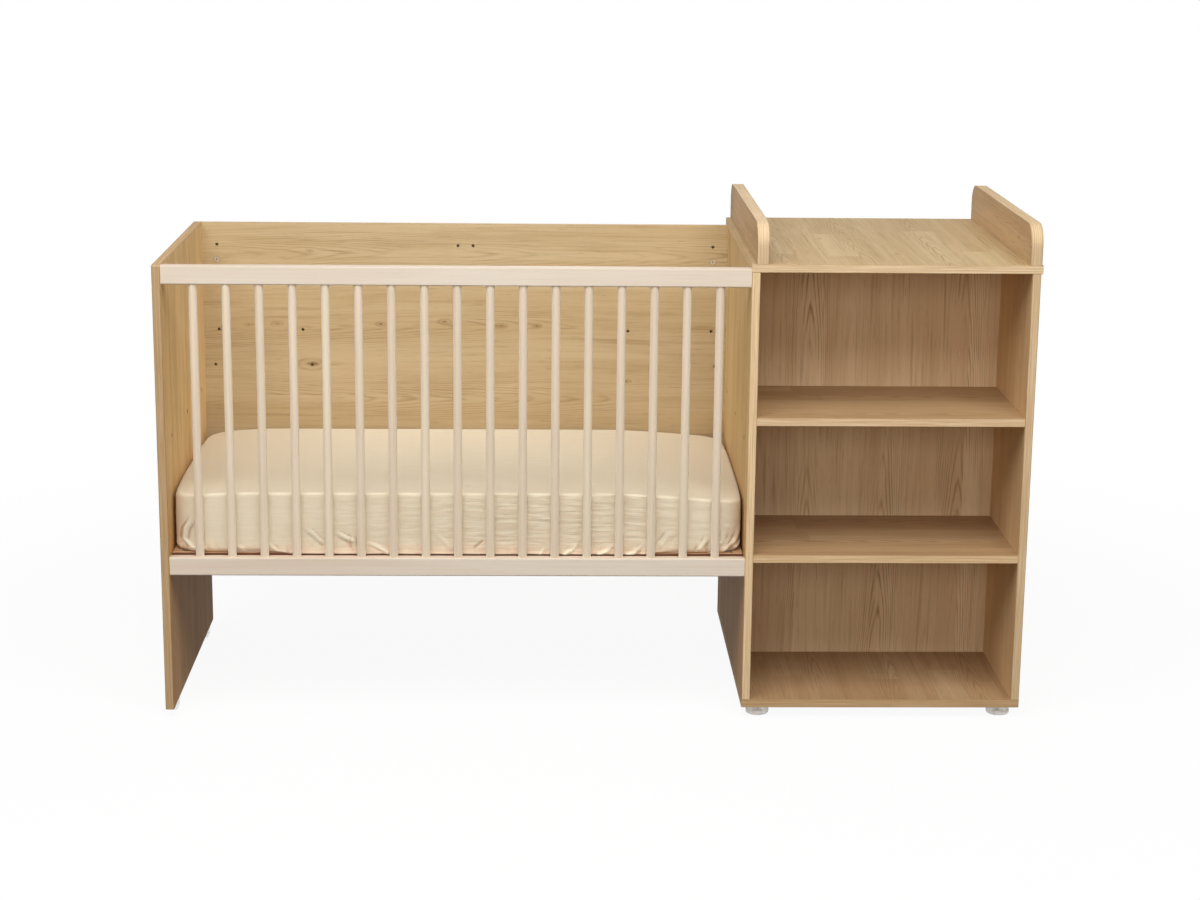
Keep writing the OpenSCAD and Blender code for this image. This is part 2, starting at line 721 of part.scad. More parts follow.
foot_edge_r = 4;
foot_screw_d = 4.5;
foot_recess_d = 14;
foot_recess_h = 8;
foot_screw_l = foot_h - foot_recess_h + board_t - 2;
foot_screw_head_d = 9;
foot_screw_head_h = 3;
module foot(x, y) {
    color(PLASTIC) placed() translate([x, y, 0]) difference() {
        rotate_extrude() {
            square([foot_d / 2 - foot_edge_r, foot_h]);
            translate([0, foot_edge_r]) square([foot_d / 2, foot_h - foot_edge_r]);
            translate([foot_d / 2 - foot_edge_r, foot_edge_r]) intersection() {
                circle(foot_edge_r);
                translate([0, -foot_edge_r]) square(foot_edge_r);
            }
        }
        translate([0, 0, -1]) cylinder(d = foot_recess_d, h = foot_recess_h + 1);
        foot_screw_space();
    }
}
module foot_front_left() foot(foot_xs[0], foot_ys[0]);
module foot_front_right() foot(foot_xs[1], foot_ys[0]);
module foot_rear_left() foot(foot_xs[0], foot_ys[1]);
module foot_rear_right() foot(foot_xs[1], foot_ys[1]);
module foot_screw_space() {
    translate([0, 0, foot_recess_h - 1]) cylinder(d = foot_screw_d + hole_play, h = foot_screw_l + 1 + hole_play);
}
module foot_screws() {
    color(STEEL) placed() for (x = foot_xs, y = foot_ys) translate([x, y, foot_recess_h]) difference() {
        union() {
            translate([0, 0, -foot_screw_head_h]) cylinder(d = foot_screw_head_d, h = foot_screw_head_h);
            cylinder(d = foot_screw_d, h = foot_screw_l);
        }
        for (turn = [0, 90]) rotate(turn) translate([-2.5, -0.5, -foot_screw_head_h - 1]) cube([5, 1, 3]);
    }
}
glide_side = 1;
glide_w = board_t - 2 * glide_side;
glide_stem_d = 8;
glide_stem_l = 14;
glide_ys = [glide_inset + glide_l / 2, crib_d - glide_inset - glide_l / 2];
module end_panel_glides() {
    straight = glide_l - glide_w;
    color(PLASTIC) placed() for (y = glide_ys) translate([-board_t / 2, y, 0]) {
        linear_extrude(glide_h) {
            square([glide_w, straight], center = true);
            for (end = [-1, 1]) translate([0, end * straight / 2]) circle(d = glide_w);
        }
        cylinder(d = glide_stem_d, h = glide_h + glide_stem_l);
    }
}

// ---- Fastener groups ------------------------------------------------------

shelf_cams = [for (z = shelf_zs) each concat(shelf_cams_left(z), shelf_cams_right(z))];
shelf_dowels = [for (z = shelf_zs) each concat(shelf_dowels_left(z), shelf_dowels_right(z))];
module cam_locks() {
    color(STEEL) placed() {
        for (j = concat(back_cams_left, back_cams_right)) cam_at(j, back_t);
        for (j = concat(top_cams, shelf_cams)) cam_at(j, board_t);
    }
}
module cam_bolts() {
    color(STEEL) placed() for (j = concat(back_cams_left, back_cams_right, top_cams, shelf_cams))
        cam_bolt_at(j);
}
module dowels() {
    color(PALE_WOOD) placed() {
        dowel_set(concat(rail_dowels_left, rail_dowels_right));
        dowel_set(concat(back_dowels_left, back_dowels_right));
        dowel_set(concat(top_dowels, bottom_dowels, shelf_dowels));
        dowel_set(concat(inner_dowels_left, inner_dowels_right, inner_dowels_low, inner_dowels_high));
    }
}
module rail_bolts() {
    color(STEEL) placed() for (j = concat(rail_bolts_left, rail_bolts_right)) rail_bolt_at(j);
}
module barrel_nuts() {
    color(STEEL) placed() for (j = concat(rail_bolts_left, rail_bolts_right)) barrel_nut_at(j);
}
module long_screws() {
    color(STEEL) placed() long_screw_set(concat(bottom_screws, guard_screws_left, guard_screws_right));
}

left_end_panel();
shared_side_panel();
crib_back_panel();
top_rail();
bottom_rail();
for (i = [1:bar_n]) bar(i);
base_front_rail();
base_rear_rail();
base_left_rail();
base_right_rail();
for (i = [1:slat_n]) slat(i);
base_dowels();
base_support_pins();
mattress();
fitted_sheet();
right_side_panel();
unit_bottom();
changer_top();
lower_shelf();
upper_shelf();
inner_back();
left_guard();
right_guard();
foot_front_left();
foot_front_right();
foot_rear_left();
foot_rear_right();
end_panel_glides();
cam_locks();
cam_bolts();
dowels();
rail_bolts();
barrel_nuts();
long_screws();
foot_screws();
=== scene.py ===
import math
from functools import partialmethod, reduce
from typing import NamedTuple

import bmesh
import bpy
from bpy.props import FloatProperty, FloatVectorProperty, PointerProperty
from bpy.types import Operator, Panel, PropertyGroup
from mathutils import Matrix, Vector, noise


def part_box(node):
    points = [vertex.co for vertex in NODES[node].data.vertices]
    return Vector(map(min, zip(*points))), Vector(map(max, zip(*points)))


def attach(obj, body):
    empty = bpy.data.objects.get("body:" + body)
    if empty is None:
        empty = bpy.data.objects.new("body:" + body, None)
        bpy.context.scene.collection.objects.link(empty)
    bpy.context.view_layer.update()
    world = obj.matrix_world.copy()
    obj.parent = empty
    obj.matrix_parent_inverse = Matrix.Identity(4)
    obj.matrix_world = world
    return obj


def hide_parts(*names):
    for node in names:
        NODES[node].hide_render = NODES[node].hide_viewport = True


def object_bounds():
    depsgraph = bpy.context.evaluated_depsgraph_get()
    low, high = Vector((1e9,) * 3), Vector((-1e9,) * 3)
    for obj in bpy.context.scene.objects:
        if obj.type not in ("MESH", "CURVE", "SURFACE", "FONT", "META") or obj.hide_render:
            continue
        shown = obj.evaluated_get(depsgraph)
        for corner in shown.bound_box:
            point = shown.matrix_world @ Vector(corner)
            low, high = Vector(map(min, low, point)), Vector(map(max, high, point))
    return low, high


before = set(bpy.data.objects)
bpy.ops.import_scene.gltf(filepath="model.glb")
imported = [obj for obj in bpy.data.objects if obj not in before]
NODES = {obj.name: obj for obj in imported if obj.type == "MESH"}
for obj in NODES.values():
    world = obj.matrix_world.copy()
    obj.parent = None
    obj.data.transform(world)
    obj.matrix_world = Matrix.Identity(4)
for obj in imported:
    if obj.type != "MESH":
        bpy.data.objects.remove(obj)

bl_info = {
    "name": "Crib With Attached Changer",
    "version": (1, 0, 0),
    "blender": (4, 5, 0),
    "location": "3D View > Sidebar > Crib",
    "description": "Wood finishes, bedding and a studio stage for a crib with an attached changer",
    "category": "Object",
}

CAD_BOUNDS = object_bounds()
X, Y, Z = 0, 1, 2
MM = 0.001


class Board(NamedTuple):
    """How one board's oak surface is laid out, in metres."""

    grain: int  # The axis that its figure runs along
    stave_width: float = 0.11
    stave_length: float = 9.0
    face: tuple = (1.0, 1.0, 1.0)  # Tone of its faces, times the oak's; set board by board, so it also paints light and shade: darker on the shelves and bottom, lighter on sideways faces and the inner back
    band: tuple = (1.0, 1.0, 1.0)  # Tone of its edge bands, set board by board, so it also paints the light and shade that they get
    contrast: float = 0.6  # How strongly one stave differs from the next
    figure: float = 1.0  # How strong its arched lines are, times the oak's
    knots: tuple = ()  # Place along the grain, place across it and half width of each knot
    fade: tuple = None  # Painted shade towards the foot: axis and sign of the side that it darkens, its upper and lower end, its tone
    shine: float = 0.12  # Its specular level
    rim: float = 0.003  # How far in its edge bands reach, past which a hole shows its core


LOW_SHADE = (0.86, 0.66, 0.54)  # Painted shade at the foot of the crib's two end panels, under the bed, times their tone
BOARDS = {
    "crib_back_panel": Board(
        X, 0.16, face=(1.0, 1.05, 1.07), contrast=0.35,
        fade=(Y, -1, 0.88, 0.64, (0.885, 0.88, 0.885)),
        knots=(
            (-0.803, 0.744, 0.0035), (-0.736, 0.746, 0.0045), (-0.494, 0.747, 0.004),
            (-0.344, 0.753, 0.005), (-0.656, 0.650, 0.011), (-0.657, 0.918, 0.003),
            (0.083, 0.612, 0.004), (-0.211, 0.745, 0.004), (-0.128, 0.744, 0.0035),
        ),
    ),
    "left_end_panel": Board(
        Z, 0.13, face=(1.41, 1.44, 1.36), band=(0.8, 0.73, 0.64), contrast=0.3, shine=0.06,
        fade=(X, 1, 0.6, 0.3, LOW_SHADE),
    ),
    "shared_side_panel": Board(
        Z, 0.13, face=(1.27, 1.33, 1.28), band=(1.2, 1.18, 1.15), contrast=0.3, shine=0.06,
        fade=(X, -1, 0.6, 0.3, LOW_SHADE),
    ),
    "right_side_panel": Board(Z, 0.13, face=(1.32, 1.28, 1.24), band=(1.0, 0.98, 0.95)),
    "inner_back": Board(Z, 0.047, face=(1.29, 1.31, 1.4), contrast=0.8, figure=1.7),
    "upper_shelf": Board(
        X, 0.09, 0.7, face=(0.85, 0.8, 0.75), band=(1.07, 1.04, 1.02), contrast=0.9, figure=1.6
    ),
    "lower_shelf": Board(
        X, 0.09, 0.7, face=(0.77, 0.69, 0.64), band=(1.05, 1.0, 0.92), contrast=0.9, figure=1.6
    ),
    "unit_bottom": Board(Y, 0.07, 0.32, face=(0.74, 0.66, 0.62), band=(0.85, 0.75, 0.65)),
    "changer_top": Board(
        Y, 0.07, 0.32, face=(0.96, 0.96, 0.9), band=(1.1, 1.1, 1.1), contrast=0.4,
        knots=((0.02, 0.50, 0.003), (-0.20, 0.64, 0.003)),
    ),
    "left_guard": Board(Y, 0.09, face=(1.04, 0.99, 0.94), band=(1.02, 1.02, 1.03), rim=0.016),
    "right_guard": Board(
        Y, 0.09, face=(1.17, 1.12, 1.03), band=(0.96, 0.94, 0.92), rim=0.016,
        knots=((-0.22, 1.035, 0.0035),),
    ),
}

# The oak's noises: waves per metre along, across and through the board, which of these places the
# board's own number shifts, detail and roughness
OAK = {
    "wander": (1.3, 3.1, 2, 0, 3, 0.5),
    "bands": (0.7, 17, 5, 0, 3, 0.5),
    "mottle": (4, 30, 5, 0, 3, 0.5),
    "streaks": (3.5, 190, 60, 0, 4, 0.6),
    "lines": (3.2, 95, 40, 0, 3, 0.55),
    "ripple": (5, 26, 3, 0, 3, 0.5),
    "flecks": (16, 240, 90, 2, 2, 0.5),
    "pores": (38, 1100, 300, 2, 2, 0.5),
}
FIGURE_WANDER, STAVE_WANDER = 0.03, 0.006  # How far figure and staves wander sideways
# A knot's length over its width, how strongly the grain bends round it and how soon that ends
KNOT_STRETCH, KNOT_BEND, KNOT_END = 2.4, 0.6, 0.16
# The arched lines' closing in beside a heart and along it, their unevenness and their thinness
ARCH_POWER, ARCH_RISE, ARCH_RUN, ARCH_RIPPLE, ARCH_SHARP = 1.6, 6400, 70, 12, 4
BORDER_END, BORDER_FULL = 0.0018, 0.0006  # Reach of the dark line between edge band and face
CORE_RIM = 0.0004  # Over what distance an edge band turns into a hole's bare core
# Solid wood: how strongly its clouds, streaks and pores show, and how rough it is
WASHED, RAW = (0.45, 0.4, 0.2, 0.5), (0.6, 0.65, 0.35, 0.62)
TOP_SHADE = (0.8, 0.76, 0.74)  # Painted shade on washed wood where it faces up, times the wash's tone, which tones down its brightly lit tops
FIRST_BAR, NEXT_BAR = 1.04, 0.0069  # Tone of the leftmost bar, and how much darker each next is
CLOTH = 0.0008  # The sheet's thickness
# How far the foam ends inside the nominal mattress, and off its foot, and how far out the cloth is
IN_SHEET, UNDER_SHEET, OVER_FOAM = 0.0008, 0.0006, 0.0012
THREAD, QUILT = 0.0009, 0.06  # Distance between the sheet's threads and the cover's seams
HEM_TOP, HEM_FULL = 0.024, 0.004  # Heights between which the hem's painted shade and warm bounce light from the wood grow in
FLOOR_RADIUS = 60
SHADOW_WHOLE = 1.0  # Distance from the crib's middle up to which its shadow is whole
# The cam locks' distance from the crib back's sides and edges, and the radius of their dark rim
CAM_IN, CAM_EDGE, CAM_LINE = 0.034, 0.086, 0.0069

# The crown's height over the mattress's nominal top: front edge, middle and back edge, in metres
CROWN_LIFT = (0.0009, 0.0042, 0.0042)
# How the crown falls towards its left and right ends: at the front corner, at the back corner, and
# the distance from the end where the fall begins, in metres
END_FALL = ((0.006, 0.010, 0.15), (0.018, 0.017, 0.26))
# How far the left and the right end swell out along their top edge and half way up, in metres
END_SWELL, END_BELLY = (0.0098, 0.0085), (0.0069, 0.0095)
# The sheet's drag folds on its front: depth and half width, and the points that each runs through,
# as distance from the mattress's middle and height over its foot, all in millimetres
FRONT_FOLDS = [
    (4.0, 3.6, [(-556, 84), (-571, 50), (-574, 27), (-556, 4)]),
    (2.4, 3.2, [(-540, 62), (-551, 36), (-549, 16), (-532, 2)]),
    (2.4, 3.5, [(-472, 18), (-455, 4)]),
    (2.8, 4.0, [(-408, 24), (-385, 3)]),
    (3.0, 3.8, [(-329, 53), (-312, 45), (-299, 31), (-288, 22)]),
    (3.0, 4.0, [(-263, 47), (-242, 34), (-223, 26)]),
    (2.0, 3.5, [(-227, 48), (-221, 10)]),
    (2.8, 3.8, [(-193, 22), (-172, 14), (-151, 3)]),
    (1.2, 5.0, [(-54, 48), (-16, 11)]),
    (-1.6, 4.0, [(54, 29), (35, 13)]),
    (2.2, 3.5, [(188, 16), (173, 1)]),
    (2.8, 3.8, [(255, 29), (246, 10), (225, 1)]),
    (3.0, 4.0, [(330, 17), (317, 7), (299, 1)]),
    (2.8, 3.8, [(398, 20), (375, 4), (360, 1)]),
    (2.0, 7.0, [(455, 47), (434, 19)]),
    (3.0, 4.2, [(534, 41), (523, 19), (510, 4)]),
    (2.6, 3.6, [(566, 60), (560, 28), (545, 4)]),
    (3.0, 3.6, [(588, 52), (580, 24), (562, 2)]),
    (2.4, 3.6, [(600, 41), (595, 22), (577, 2)]),
]


def colour(name, description, *levels):
    """A colour setting, whose default is written as it shows on screen, from 0 to 255."""
    shares = [level / 255 for level in levels]
    light = [s / 12.92 if s <= 0.04045 else ((s + 0.055) / 1.055) ** 2.4 for s in shares]
    return FloatVectorProperty(
        name=name, description=description, subtype="COLOR", size=3, min=0, max=1, default=light
    )


def length(name, description, default, lowest, highest):
    """A length setting in metres."""
    return FloatProperty(
        name=name, description=description, subtype="DISTANCE", unit="LENGTH",
        default=default, min=lowest, max=highest, precision=4,
    )


def number(name, description, default, highest=1.0):
    """A plain number setting."""
    return FloatProperty(name=name, description=description, default=default, min=0, max=highest)


def angle(name, description, degrees):
    """An angle setting, whose default is written in degrees."""
    return FloatProperty(
        name=name, description=description, subtype="ANGLE", default=math.radians(degrees)
    )


def watts(name, description, default):
    """A lamp's power setting."""
    return FloatProperty(name=name, description=description, unit="POWER", default=default, min=0)


# ---- Settings ----


class CribOakSettings(PropertyGroup):
    """Colours and figure of the oak-look boards."""

    light: colour("Light", "Palest bands of the oak surface", 216, 190, 150)
    middle: colour("Middle", "Body colour of the oak surface", 204, 176, 134)
    dark: colour("Dark", "Darker streaks along the grain", 178, 146, 103)
    figure: colour("Figure", "Thin lines of the arched figure", 158, 124, 84)
    blush: colour("Blush", "Body colour of the pinker, darker staves", 192, 158, 118)
    knot: colour("Knot", "Heart of a knot", 136, 96, 56)
    band_light: colour("Band light", "Palest streaks of the edge band", 236, 210, 172)
    band_dark: colour("Band dark", "Darkest streaks of the edge band", 208, 176, 133)
    border: colour("Border", "Thin line where an edge band meets a face", 160, 124, 84)
    core: colour("Core", "Particle board inside a drilled hole", 122, 90, 60)
    heart_gap: length("Heart spacing", "Distance between two arched figures", 0.17, 0.05, 0.5)
    figure_share: number("Figure", "How strongly the arched lines show", 0.55)


class CribPaleSettings(PropertyGroup):
    """Colours of the whitewashed rails and bars and of the raw slats, with painted light on the
    bars' sides and painted shade on the base's front.
    """

    wash: colour("Wash", "Whitewashed wood of the rails", 241, 227, 208)
    wash_shade: colour("Wash shade", "Grain that shows through the wash", 226, 202, 176)
    bar: colour("Bar", "Whitewashed wood of the bars", 250, 233, 204)
    bar_blush: colour("Bar blush", "Wash of the pinker bars", 249, 228, 202)
    # Painted light on the bars' left and right sides, which evens out their round shading
    bar_side_light: colour("Bar side", "Wash that gathers on a bar's left and right sides", 255, 244, 224)
    slat: colour("Slat", "Raw wood of the slatted base", 214, 176, 132)
    slat_shade: colour("Slat shade", "Grain of the slatted base", 186, 142, 98)
    # Painted shade on the slatted base's front, which the sheet's hem shades
    base_front_shade: colour("Base stain", "Stained front of the slatted base", 104, 62, 40)


class CribBeddingSettings(PropertyGroup):
    """Colours and sizes of the mattress and the fitted sheet, with the sheet's painted shade,
    bounce light and highlights.
    """

    sheet: colour("Sheet", "Cloth of the fitted sheet", 246, 234, 208)
    # Painted shade in the creases and on the sheet's sides, and the darker tone of its slubs
    sheet_shade: colour("Sheet shade", "Cloth between threads and in the creases", 231, 213, 184)
    # Painted shade and warm bounce light from the wood on the gathered hem
    sheet_hem_shade: colour("Sheet hem", "Gathered cloth, which the wood below tints", 232, 200, 172)
    # Painted shade in the grooves beside the folds
    sheet_fold_shade: colour("Sheet fold", "Cloth in the grooves beside the folds", 200, 172, 136)
    cover: colour("Cover", "Knitted cover of the mattress", 240, 237, 228)
    spacing: length("Mesh spacing", "Distance between the sheet's mesh lines", 0.004, 0.004, 0.02)
    corner: length("Corner radius", "Radius of the mattress's upright corners", 0.052, 0.01, 0.1)
    brim: length(
        "Brim radius", "Radius of the edge along the mattress's front and back", 0.0045, 0.002, 0.02
    )
    end_brim: length(
        "End brim radius", "Radius of the softer edge over the mattress's ends", 0.012, 0.002, 0.03
    )


class CribHardwareSettings(PropertyGroup):
    """Colours of the feet, the glides and the fasteners."""

    foot: colour("Foot", "Plastic of the feet", 255, 247, 239)
    glide: colour("Glide", "Plastic of the glides", 252, 250, 246)
    zinc: colour("Zinc", "Plated steel", 206, 198, 184)
    cam: colour("Cam", "Die-cast zinc of the cam locks", 238, 220, 192)


class CribStageSettings(PropertyGroup):
    """Camera, lamps and floor."""

    camera: FloatVectorProperty(
        name="Camera", description="Place of the camera", subtype="TRANSLATION", size=3,
        default=(-0.1377, -5.2739, 1.7725),
    )
    turn: angle("Turn", "Camera's turn to the right", 1.659)
    tilt: angle("Tilt", "Camera's tilt downwards", 13.433)
    roll: angle("Roll", "Camera's roll", 0.60074)
    lens: FloatProperty(name="Lens", description="Focal length in mm", default=72.02, min=20)
    side: angle("Side", "Angle of both front lamps to the left of straight in front", 4)
    key_height: angle("Key height", "Angle of the key lamp above the floor", 54)
    key_power: watts("Key lamp", "Power of the wide lamp high in front", 288)
    fill_power: watts("Fill lamp", "Power of the low lamp behind the camera", 106)
    back_power: watts("Back lamp", "Power of the far lamp that lights the crib's back", 1500)
    surround: number("Surround", "Strength of the even light from all round", 0.09, 4)
    floor: colour("Floor", "Pale studio floor, as it looks", 252, 252, 251)
    floor_bounce: colour("Floor bounce", "Colour of the light that the floor returns", 64, 46, 32)
    shadow: number("Shadow", "How much of the floor's own light and shade shows", 0.065)
    shadow_reach: length(
        "Shadow reach", "Distance at which the floor has turned plain white", 2.6, 0.5, 20
    )


# ---- Materials ----


class Value:
    """A node's output that can be written into sums, products, powers and smooth steps."""

    def __init__(self, recipe, socket):
        self.recipe = recipe
        self.socket = socket

    def first(self, operation, *others):
        """A step of arithmetic that starts with this value."""
        return self.recipe.math(operation, self, *others)

    def last(self, operation, other):
        """A step of arithmetic that ends with this value."""
        return self.recipe.math(operation, other, self)

    __add__ = __radd__ = partialmethod(first, "ADD")
    __mul__ = __rmul__ = partialmethod(first, "MULTIPLY")
    __sub__, __rsub__ = partialmethod(first, "SUBTRACT"), partialmethod(last, "SUBTRACT")
    __pow__, __rpow__ = partialmethod(first, "POWER"), partialmethod(last, "POWER")
    __truediv__ = partialmethod(first, "DIVIDE")
    __abs__ = partialmethod(first, "ABSOLUTE")

    def ease(self, start, end, low=0.0, high=1.0):
        """A smooth step from low where this is start to high where it is end."""
        sockets = {0: self, 1: start, 2: end, 3: low, 4: high}
        settings = {"interpolation_type": "SMOOTHSTEP"}
        return self.recipe.node("ShaderNodeMapRange", settings, sockets)


class Recipe:
    """A material or a world whose node tree is filled in by calls."""

    def __init__(self, name, library=None):
        self.owner = (bpy.data.materials if library is None else library).new(name)
        self.owner.use_nodes = True
        self.tree = self.owner.node_tree
        self.tree.nodes.clear()

    def node(self, kind, settings=None, sockets=None, output=0):
        """Adds a node, sets it up, fills its sockets and returns one of its outputs."""
        made = self.tree.nodes.new(kind)
        for key, value in (settings or {}).items():
            setattr(made, key, value)
        for key, value in (sockets or {}).items():
            socket = made.inputs[key]
            if isinstance(value, Value):
                self.tree.links.new(value.socket, socket)
            elif socket.type == "RGBA":
                socket.default_value = (*value[:3], 1)
            else:
                socket.default_value = value
        return Value(self, made.outputs[output]) if made.outputs else made

    def math(self, operation, *values):
        return self.node("ShaderNodeMath", {"operation": operation}, dict(enumerate(values)))

    def most(self, values):
        """The largest of several values."""
        return reduce(lambda first, second: self.math("MAXIMUM", first, second), values)

    def split(self, vector):
        """The three parts of a vector."""
        parts = self.node("ShaderNodeSeparateXYZ", sockets={0: vector})
        return [Value(self, socket) for socket in parts.socket.node.outputs]

    def join(self, x, y, z=0.0):
        """The vector that has these parts."""
        return self.node("ShaderNodeCombineXYZ", sockets={0: x, 1: y, 2: z})

    def place(self):
        """Where a point is on the piece, in metres."""
        return self.split(self.node("ShaderNodeTexCoord", output="Object"))

    def facing(self):
        """Which way the surface faces there."""
        return self.split(self.node("ShaderNodeTexCoord", output="Normal"))

    def grain(self, x, y, z=0.0, detail=3, roughness=0.5, scale=1.0):
        """Noise from 0 to 1 at a place."""
        sockets = {"Vector": self.join(x, y, z), "Scale": scale}
        sockets.update({"Detail": detail, "Roughness": roughness})
        return self.node("ShaderNodeTexNoise", sockets=sockets)

    def chance(self, x, y, z=0.0):
        """A random number from 0 to 1 that belongs to a place."""
        return self.node("ShaderNodeTexWhiteNoise", sockets={"Vector": self.join(x, y, z)})

    def shade(self, tone, by):
        """A colour times another."""
        settings = {"data_type": "RGBA", "blend_type": "MULTIPLY"}
        return self.node("ShaderNodeMix", settings, {0: 1.0, 6: tone, 7: by}, output=2)

    def paint(self, tone, *layers):
        """A colour, covered by each layer in turn: a mask, 1 where it covers, and a colour."""
        for mask, cover in layers:
            sockets = {0: mask, 6: tone, 7: cover}
            tone = self.node("ShaderNodeMix", {"data_type": "RGBA"}, sockets, output=2)
        return tone

    def finish(self, tone, rough, height, depth, strength=0.5, **others):
        """The surface itself, with a relief of that depth in metres."""
        relief = {"Strength": strength, "Distance": depth, "Height": height}
        sockets = {"Base Color": tone, "Roughness": rough, **others}
        sockets["Normal"] = self.node("ShaderNodeBump", sockets=relief)
        surface = self.node("ShaderNodeBsdfPrincipled", sockets=sockets)
        self.node("ShaderNodeOutputMaterial", sockets={"Surface": surface})
        return self.owner


def toned(base, tone):
    """A colour times a tone, or times one number, kept within white."""
    parts = tone if isinstance(tone, tuple) else (tone,) * 3
    return tuple(min(level * part, 1.0) for level, part in zip(base, parts))


class OakBoard(Recipe):
    """A board with a printed oak surface, streaked edge bands and particle board in its holes."""

    def __init__(self, node, board, settings, seed):
        super().__init__("oak_" + node)
        self.board, self.settings, self.seed = board, settings, seed
        self.low, self.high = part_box(node)
        size = [self.high[axis] - self.low[axis] for axis in (X, Y, Z)]
        self.thin = size.index(min(size))
        self.wide = X + Y + Z - board.grain - self.thin
        self.half = size[self.thin] / 2
        self.spot, self.normal = self.place(), self.facing()
        self.along, self.across = self.spot[board.grain], self.spot[self.wide]
        self.through = self.spot[self.thin]
        self.on_face = abs(self.normal[self.thin]).ease(0.55, 0.8)

    def material(self):
        """The finished material, with pores and lines sunk a little into its surface."""
        self.lay_out()
        face, pore, arches, streaks = self.painted_face()
        tone = self.with_holes(self.with_bands(face))
        rough = 0.55 + pore * 0.2 + streaks * 0.08
        height = streaks * 0.25 - pore * 0.8 - arches * 0.3
        return self.finish(tone, rough, height, 0.00012, **{"Specular IOR Level": self.board.shine})

    def noise(self, name):
        """One of the oak's noises, which follows the lane that the figure runs in."""
        *waves, seeded, detail, roughness = OAK[name]
        spot = [at * wave for at, wave in zip((self.along, self.lane, self.through), waves)]
        spot[seeded] += self.seed
        return self.grain(*spot, detail, roughness)

    def lay_out(self):
        """Bends the lane round the knots, and moves each stave along by a chance of its own."""
        along, across, seed = self.along, self.across, self.seed
        self.lane, self.hearts, self.rings = across, [], []
        wander = self.noise("wander") - 0.5
        for knot_along, knot_across, half_width in self.board.knots:
            away_along = (along - knot_along) / (half_width * KNOT_STRETCH)
            away_across = (across - knot_across) / half_width
            spread = away_along * away_along + away_across * away_across
            pull = (across - knot_across) * (math.e ** (spread * -KNOT_END))
            self.lane = self.lane - pull * KNOT_BEND
            self.hearts.append(spread.ease(0.6, 0.05))
            self.rings.append(abs(spread - 1.5).ease(1.3, 0.1))
        self.lane = self.lane + wander * FIGURE_WANDER
        edge = across + wander * STAVE_WANDER
        row = self.math("FLOOR", edge / self.board.stave_width + seed)
        shift = self.chance(row, seed)
        part = self.math("FLOOR", along / self.board.stave_length + shift * 0.5 + 0.25)
        self.stave = self.chance(row, part, seed)
        self.along = along + shift * 0.9 + self.stave * 0.7

    def painted_face(self):
        """The printed surface's colour with its painted light and shade, and the pores, arched
        lines and streaks that it shows.
        """
        board, settings, seed = self.board, self.settings, self.seed
        streaks, flecks = self.noise("streaks"), self.noise("flecks")
        pore = self.noise("pores").ease(0.62, 0.72)
        gap = settings.heart_gap
        off_heart = abs(self.math("FRACT", self.lane / gap + seed * 0.37) - 0.5) * gap
        contour = off_heart ** ARCH_POWER * ARCH_RISE + self.along * ARCH_RUN
        contour = contour + self.noise("ripple") * ARCH_RIPPLE
        line = (self.math("SINE", contour) * 0.5 + 0.5) ** ARCH_SHARP
        patches = self.grain(self.along * 1.9 + seed * 2, self.lane * 5, seed, detail=1)
        arches = line * (patches.ease(0.44, 0.58) * off_heart.ease(gap * 0.42, gap * 0.24))
        strength = settings.figure_share * board.figure

        # Each mask is a noise from where it starts to show to where it is full, times its strength
        face = self.paint(
            settings.light,
            (self.noise("bands").ease(0.34, 0.66), settings.middle),
            (self.stave * board.contrast, settings.blush),
            (self.noise("mottle").ease(0.5, 0.75) * 0.35, settings.dark),
            (streaks.ease(0.45, 0.75) * 0.5, settings.dark),
            (self.noise("lines").ease(0.56, 0.72) * patches.ease(0.6, 0.4) * 0.5, settings.figure),
            (arches * strength * streaks.ease(0.35, 0.6, 0.45, 1.0), settings.figure),
            (flecks.ease(0.62, 0.74) * 0.35, settings.figure),
            (pore * 0.35, settings.figure),
        )
        if board.knots:
            broken = flecks.ease(0.3, 0.65, 0.35, 1.0)
            rings = self.most(self.rings) * broken * 0.55
            hearts = self.most(self.hearts) * broken * 0.85
            face = self.paint(face, (rings, settings.figure), (hearts, settings.knot))
        # The board's tone, which also paints part of the light and shade that the board gets
        face = self.shade(face, board.face)
        # Painted shade on one side, darker towards the foot, where the bed, rails and changer shade
        # the board
        if board.fade is not None:
            axis, sign, top, bottom, tone = board.fade
            within = (self.normal[axis] * sign).ease(0.5, 0.8) * self.spot[Z].ease(top, bottom)
            face = self.paint(face, (within, self.shade(face, tone)))
        return face, pore, arches, streaks

    def with_bands(self, face):
        """The face's colour within the streaked edge bands, and a thin line where they meet."""
        settings, half = self.settings, self.half
        light, dark, middle, border = (
            toned(base, self.board.band)
            for base in (settings.band_light, settings.band_dark, settings.middle, settings.border)
        )
        on_end = abs(self.normal[self.board.grain]).ease(0.4, 0.6)
        run = self.along + (self.across - self.along) * on_end
        streaks = self.grain(run * 6 + self.seed, self.through * 420, detail=4, roughness=0.6)
        clouds = self.grain(run * 30 + self.seed, self.through * 160)
        line = abs(self.through - (self.low[self.thin] + half))
        line = line.ease(half - BORDER_END, half - BORDER_FULL)
        line = line * abs(self.normal[self.thin]).ease(0.97, 0.85)
        return self.paint(
            light, (streaks.ease(0.3, 0.7), dark), (clouds.ease(0.5, 0.8) * 0.45, middle),
            (self.on_face, face), (line * 0.6, border),
        )

    def with_holes(self, surface):
        """Bare particle board wherever a surface faces sideways away from the board's outline."""
        spot, low, high, rim = self.spot, self.low, self.high, self.board.rim
        depth = [
            self.math("MINIMUM", spot[axis] - low[axis], high[axis] - spot[axis])
            for axis in (self.board.grain, self.wide)
        ]
        in_hole = self.math("MINIMUM", *depth).ease(rim, rim + CORE_RIM) * (1 - self.on_face)
        core = (self.grain(*self.spot, scale=900), self.settings.dark)
        return self.paint(surface, (in_hole, self.paint(self.settings.core, core)))


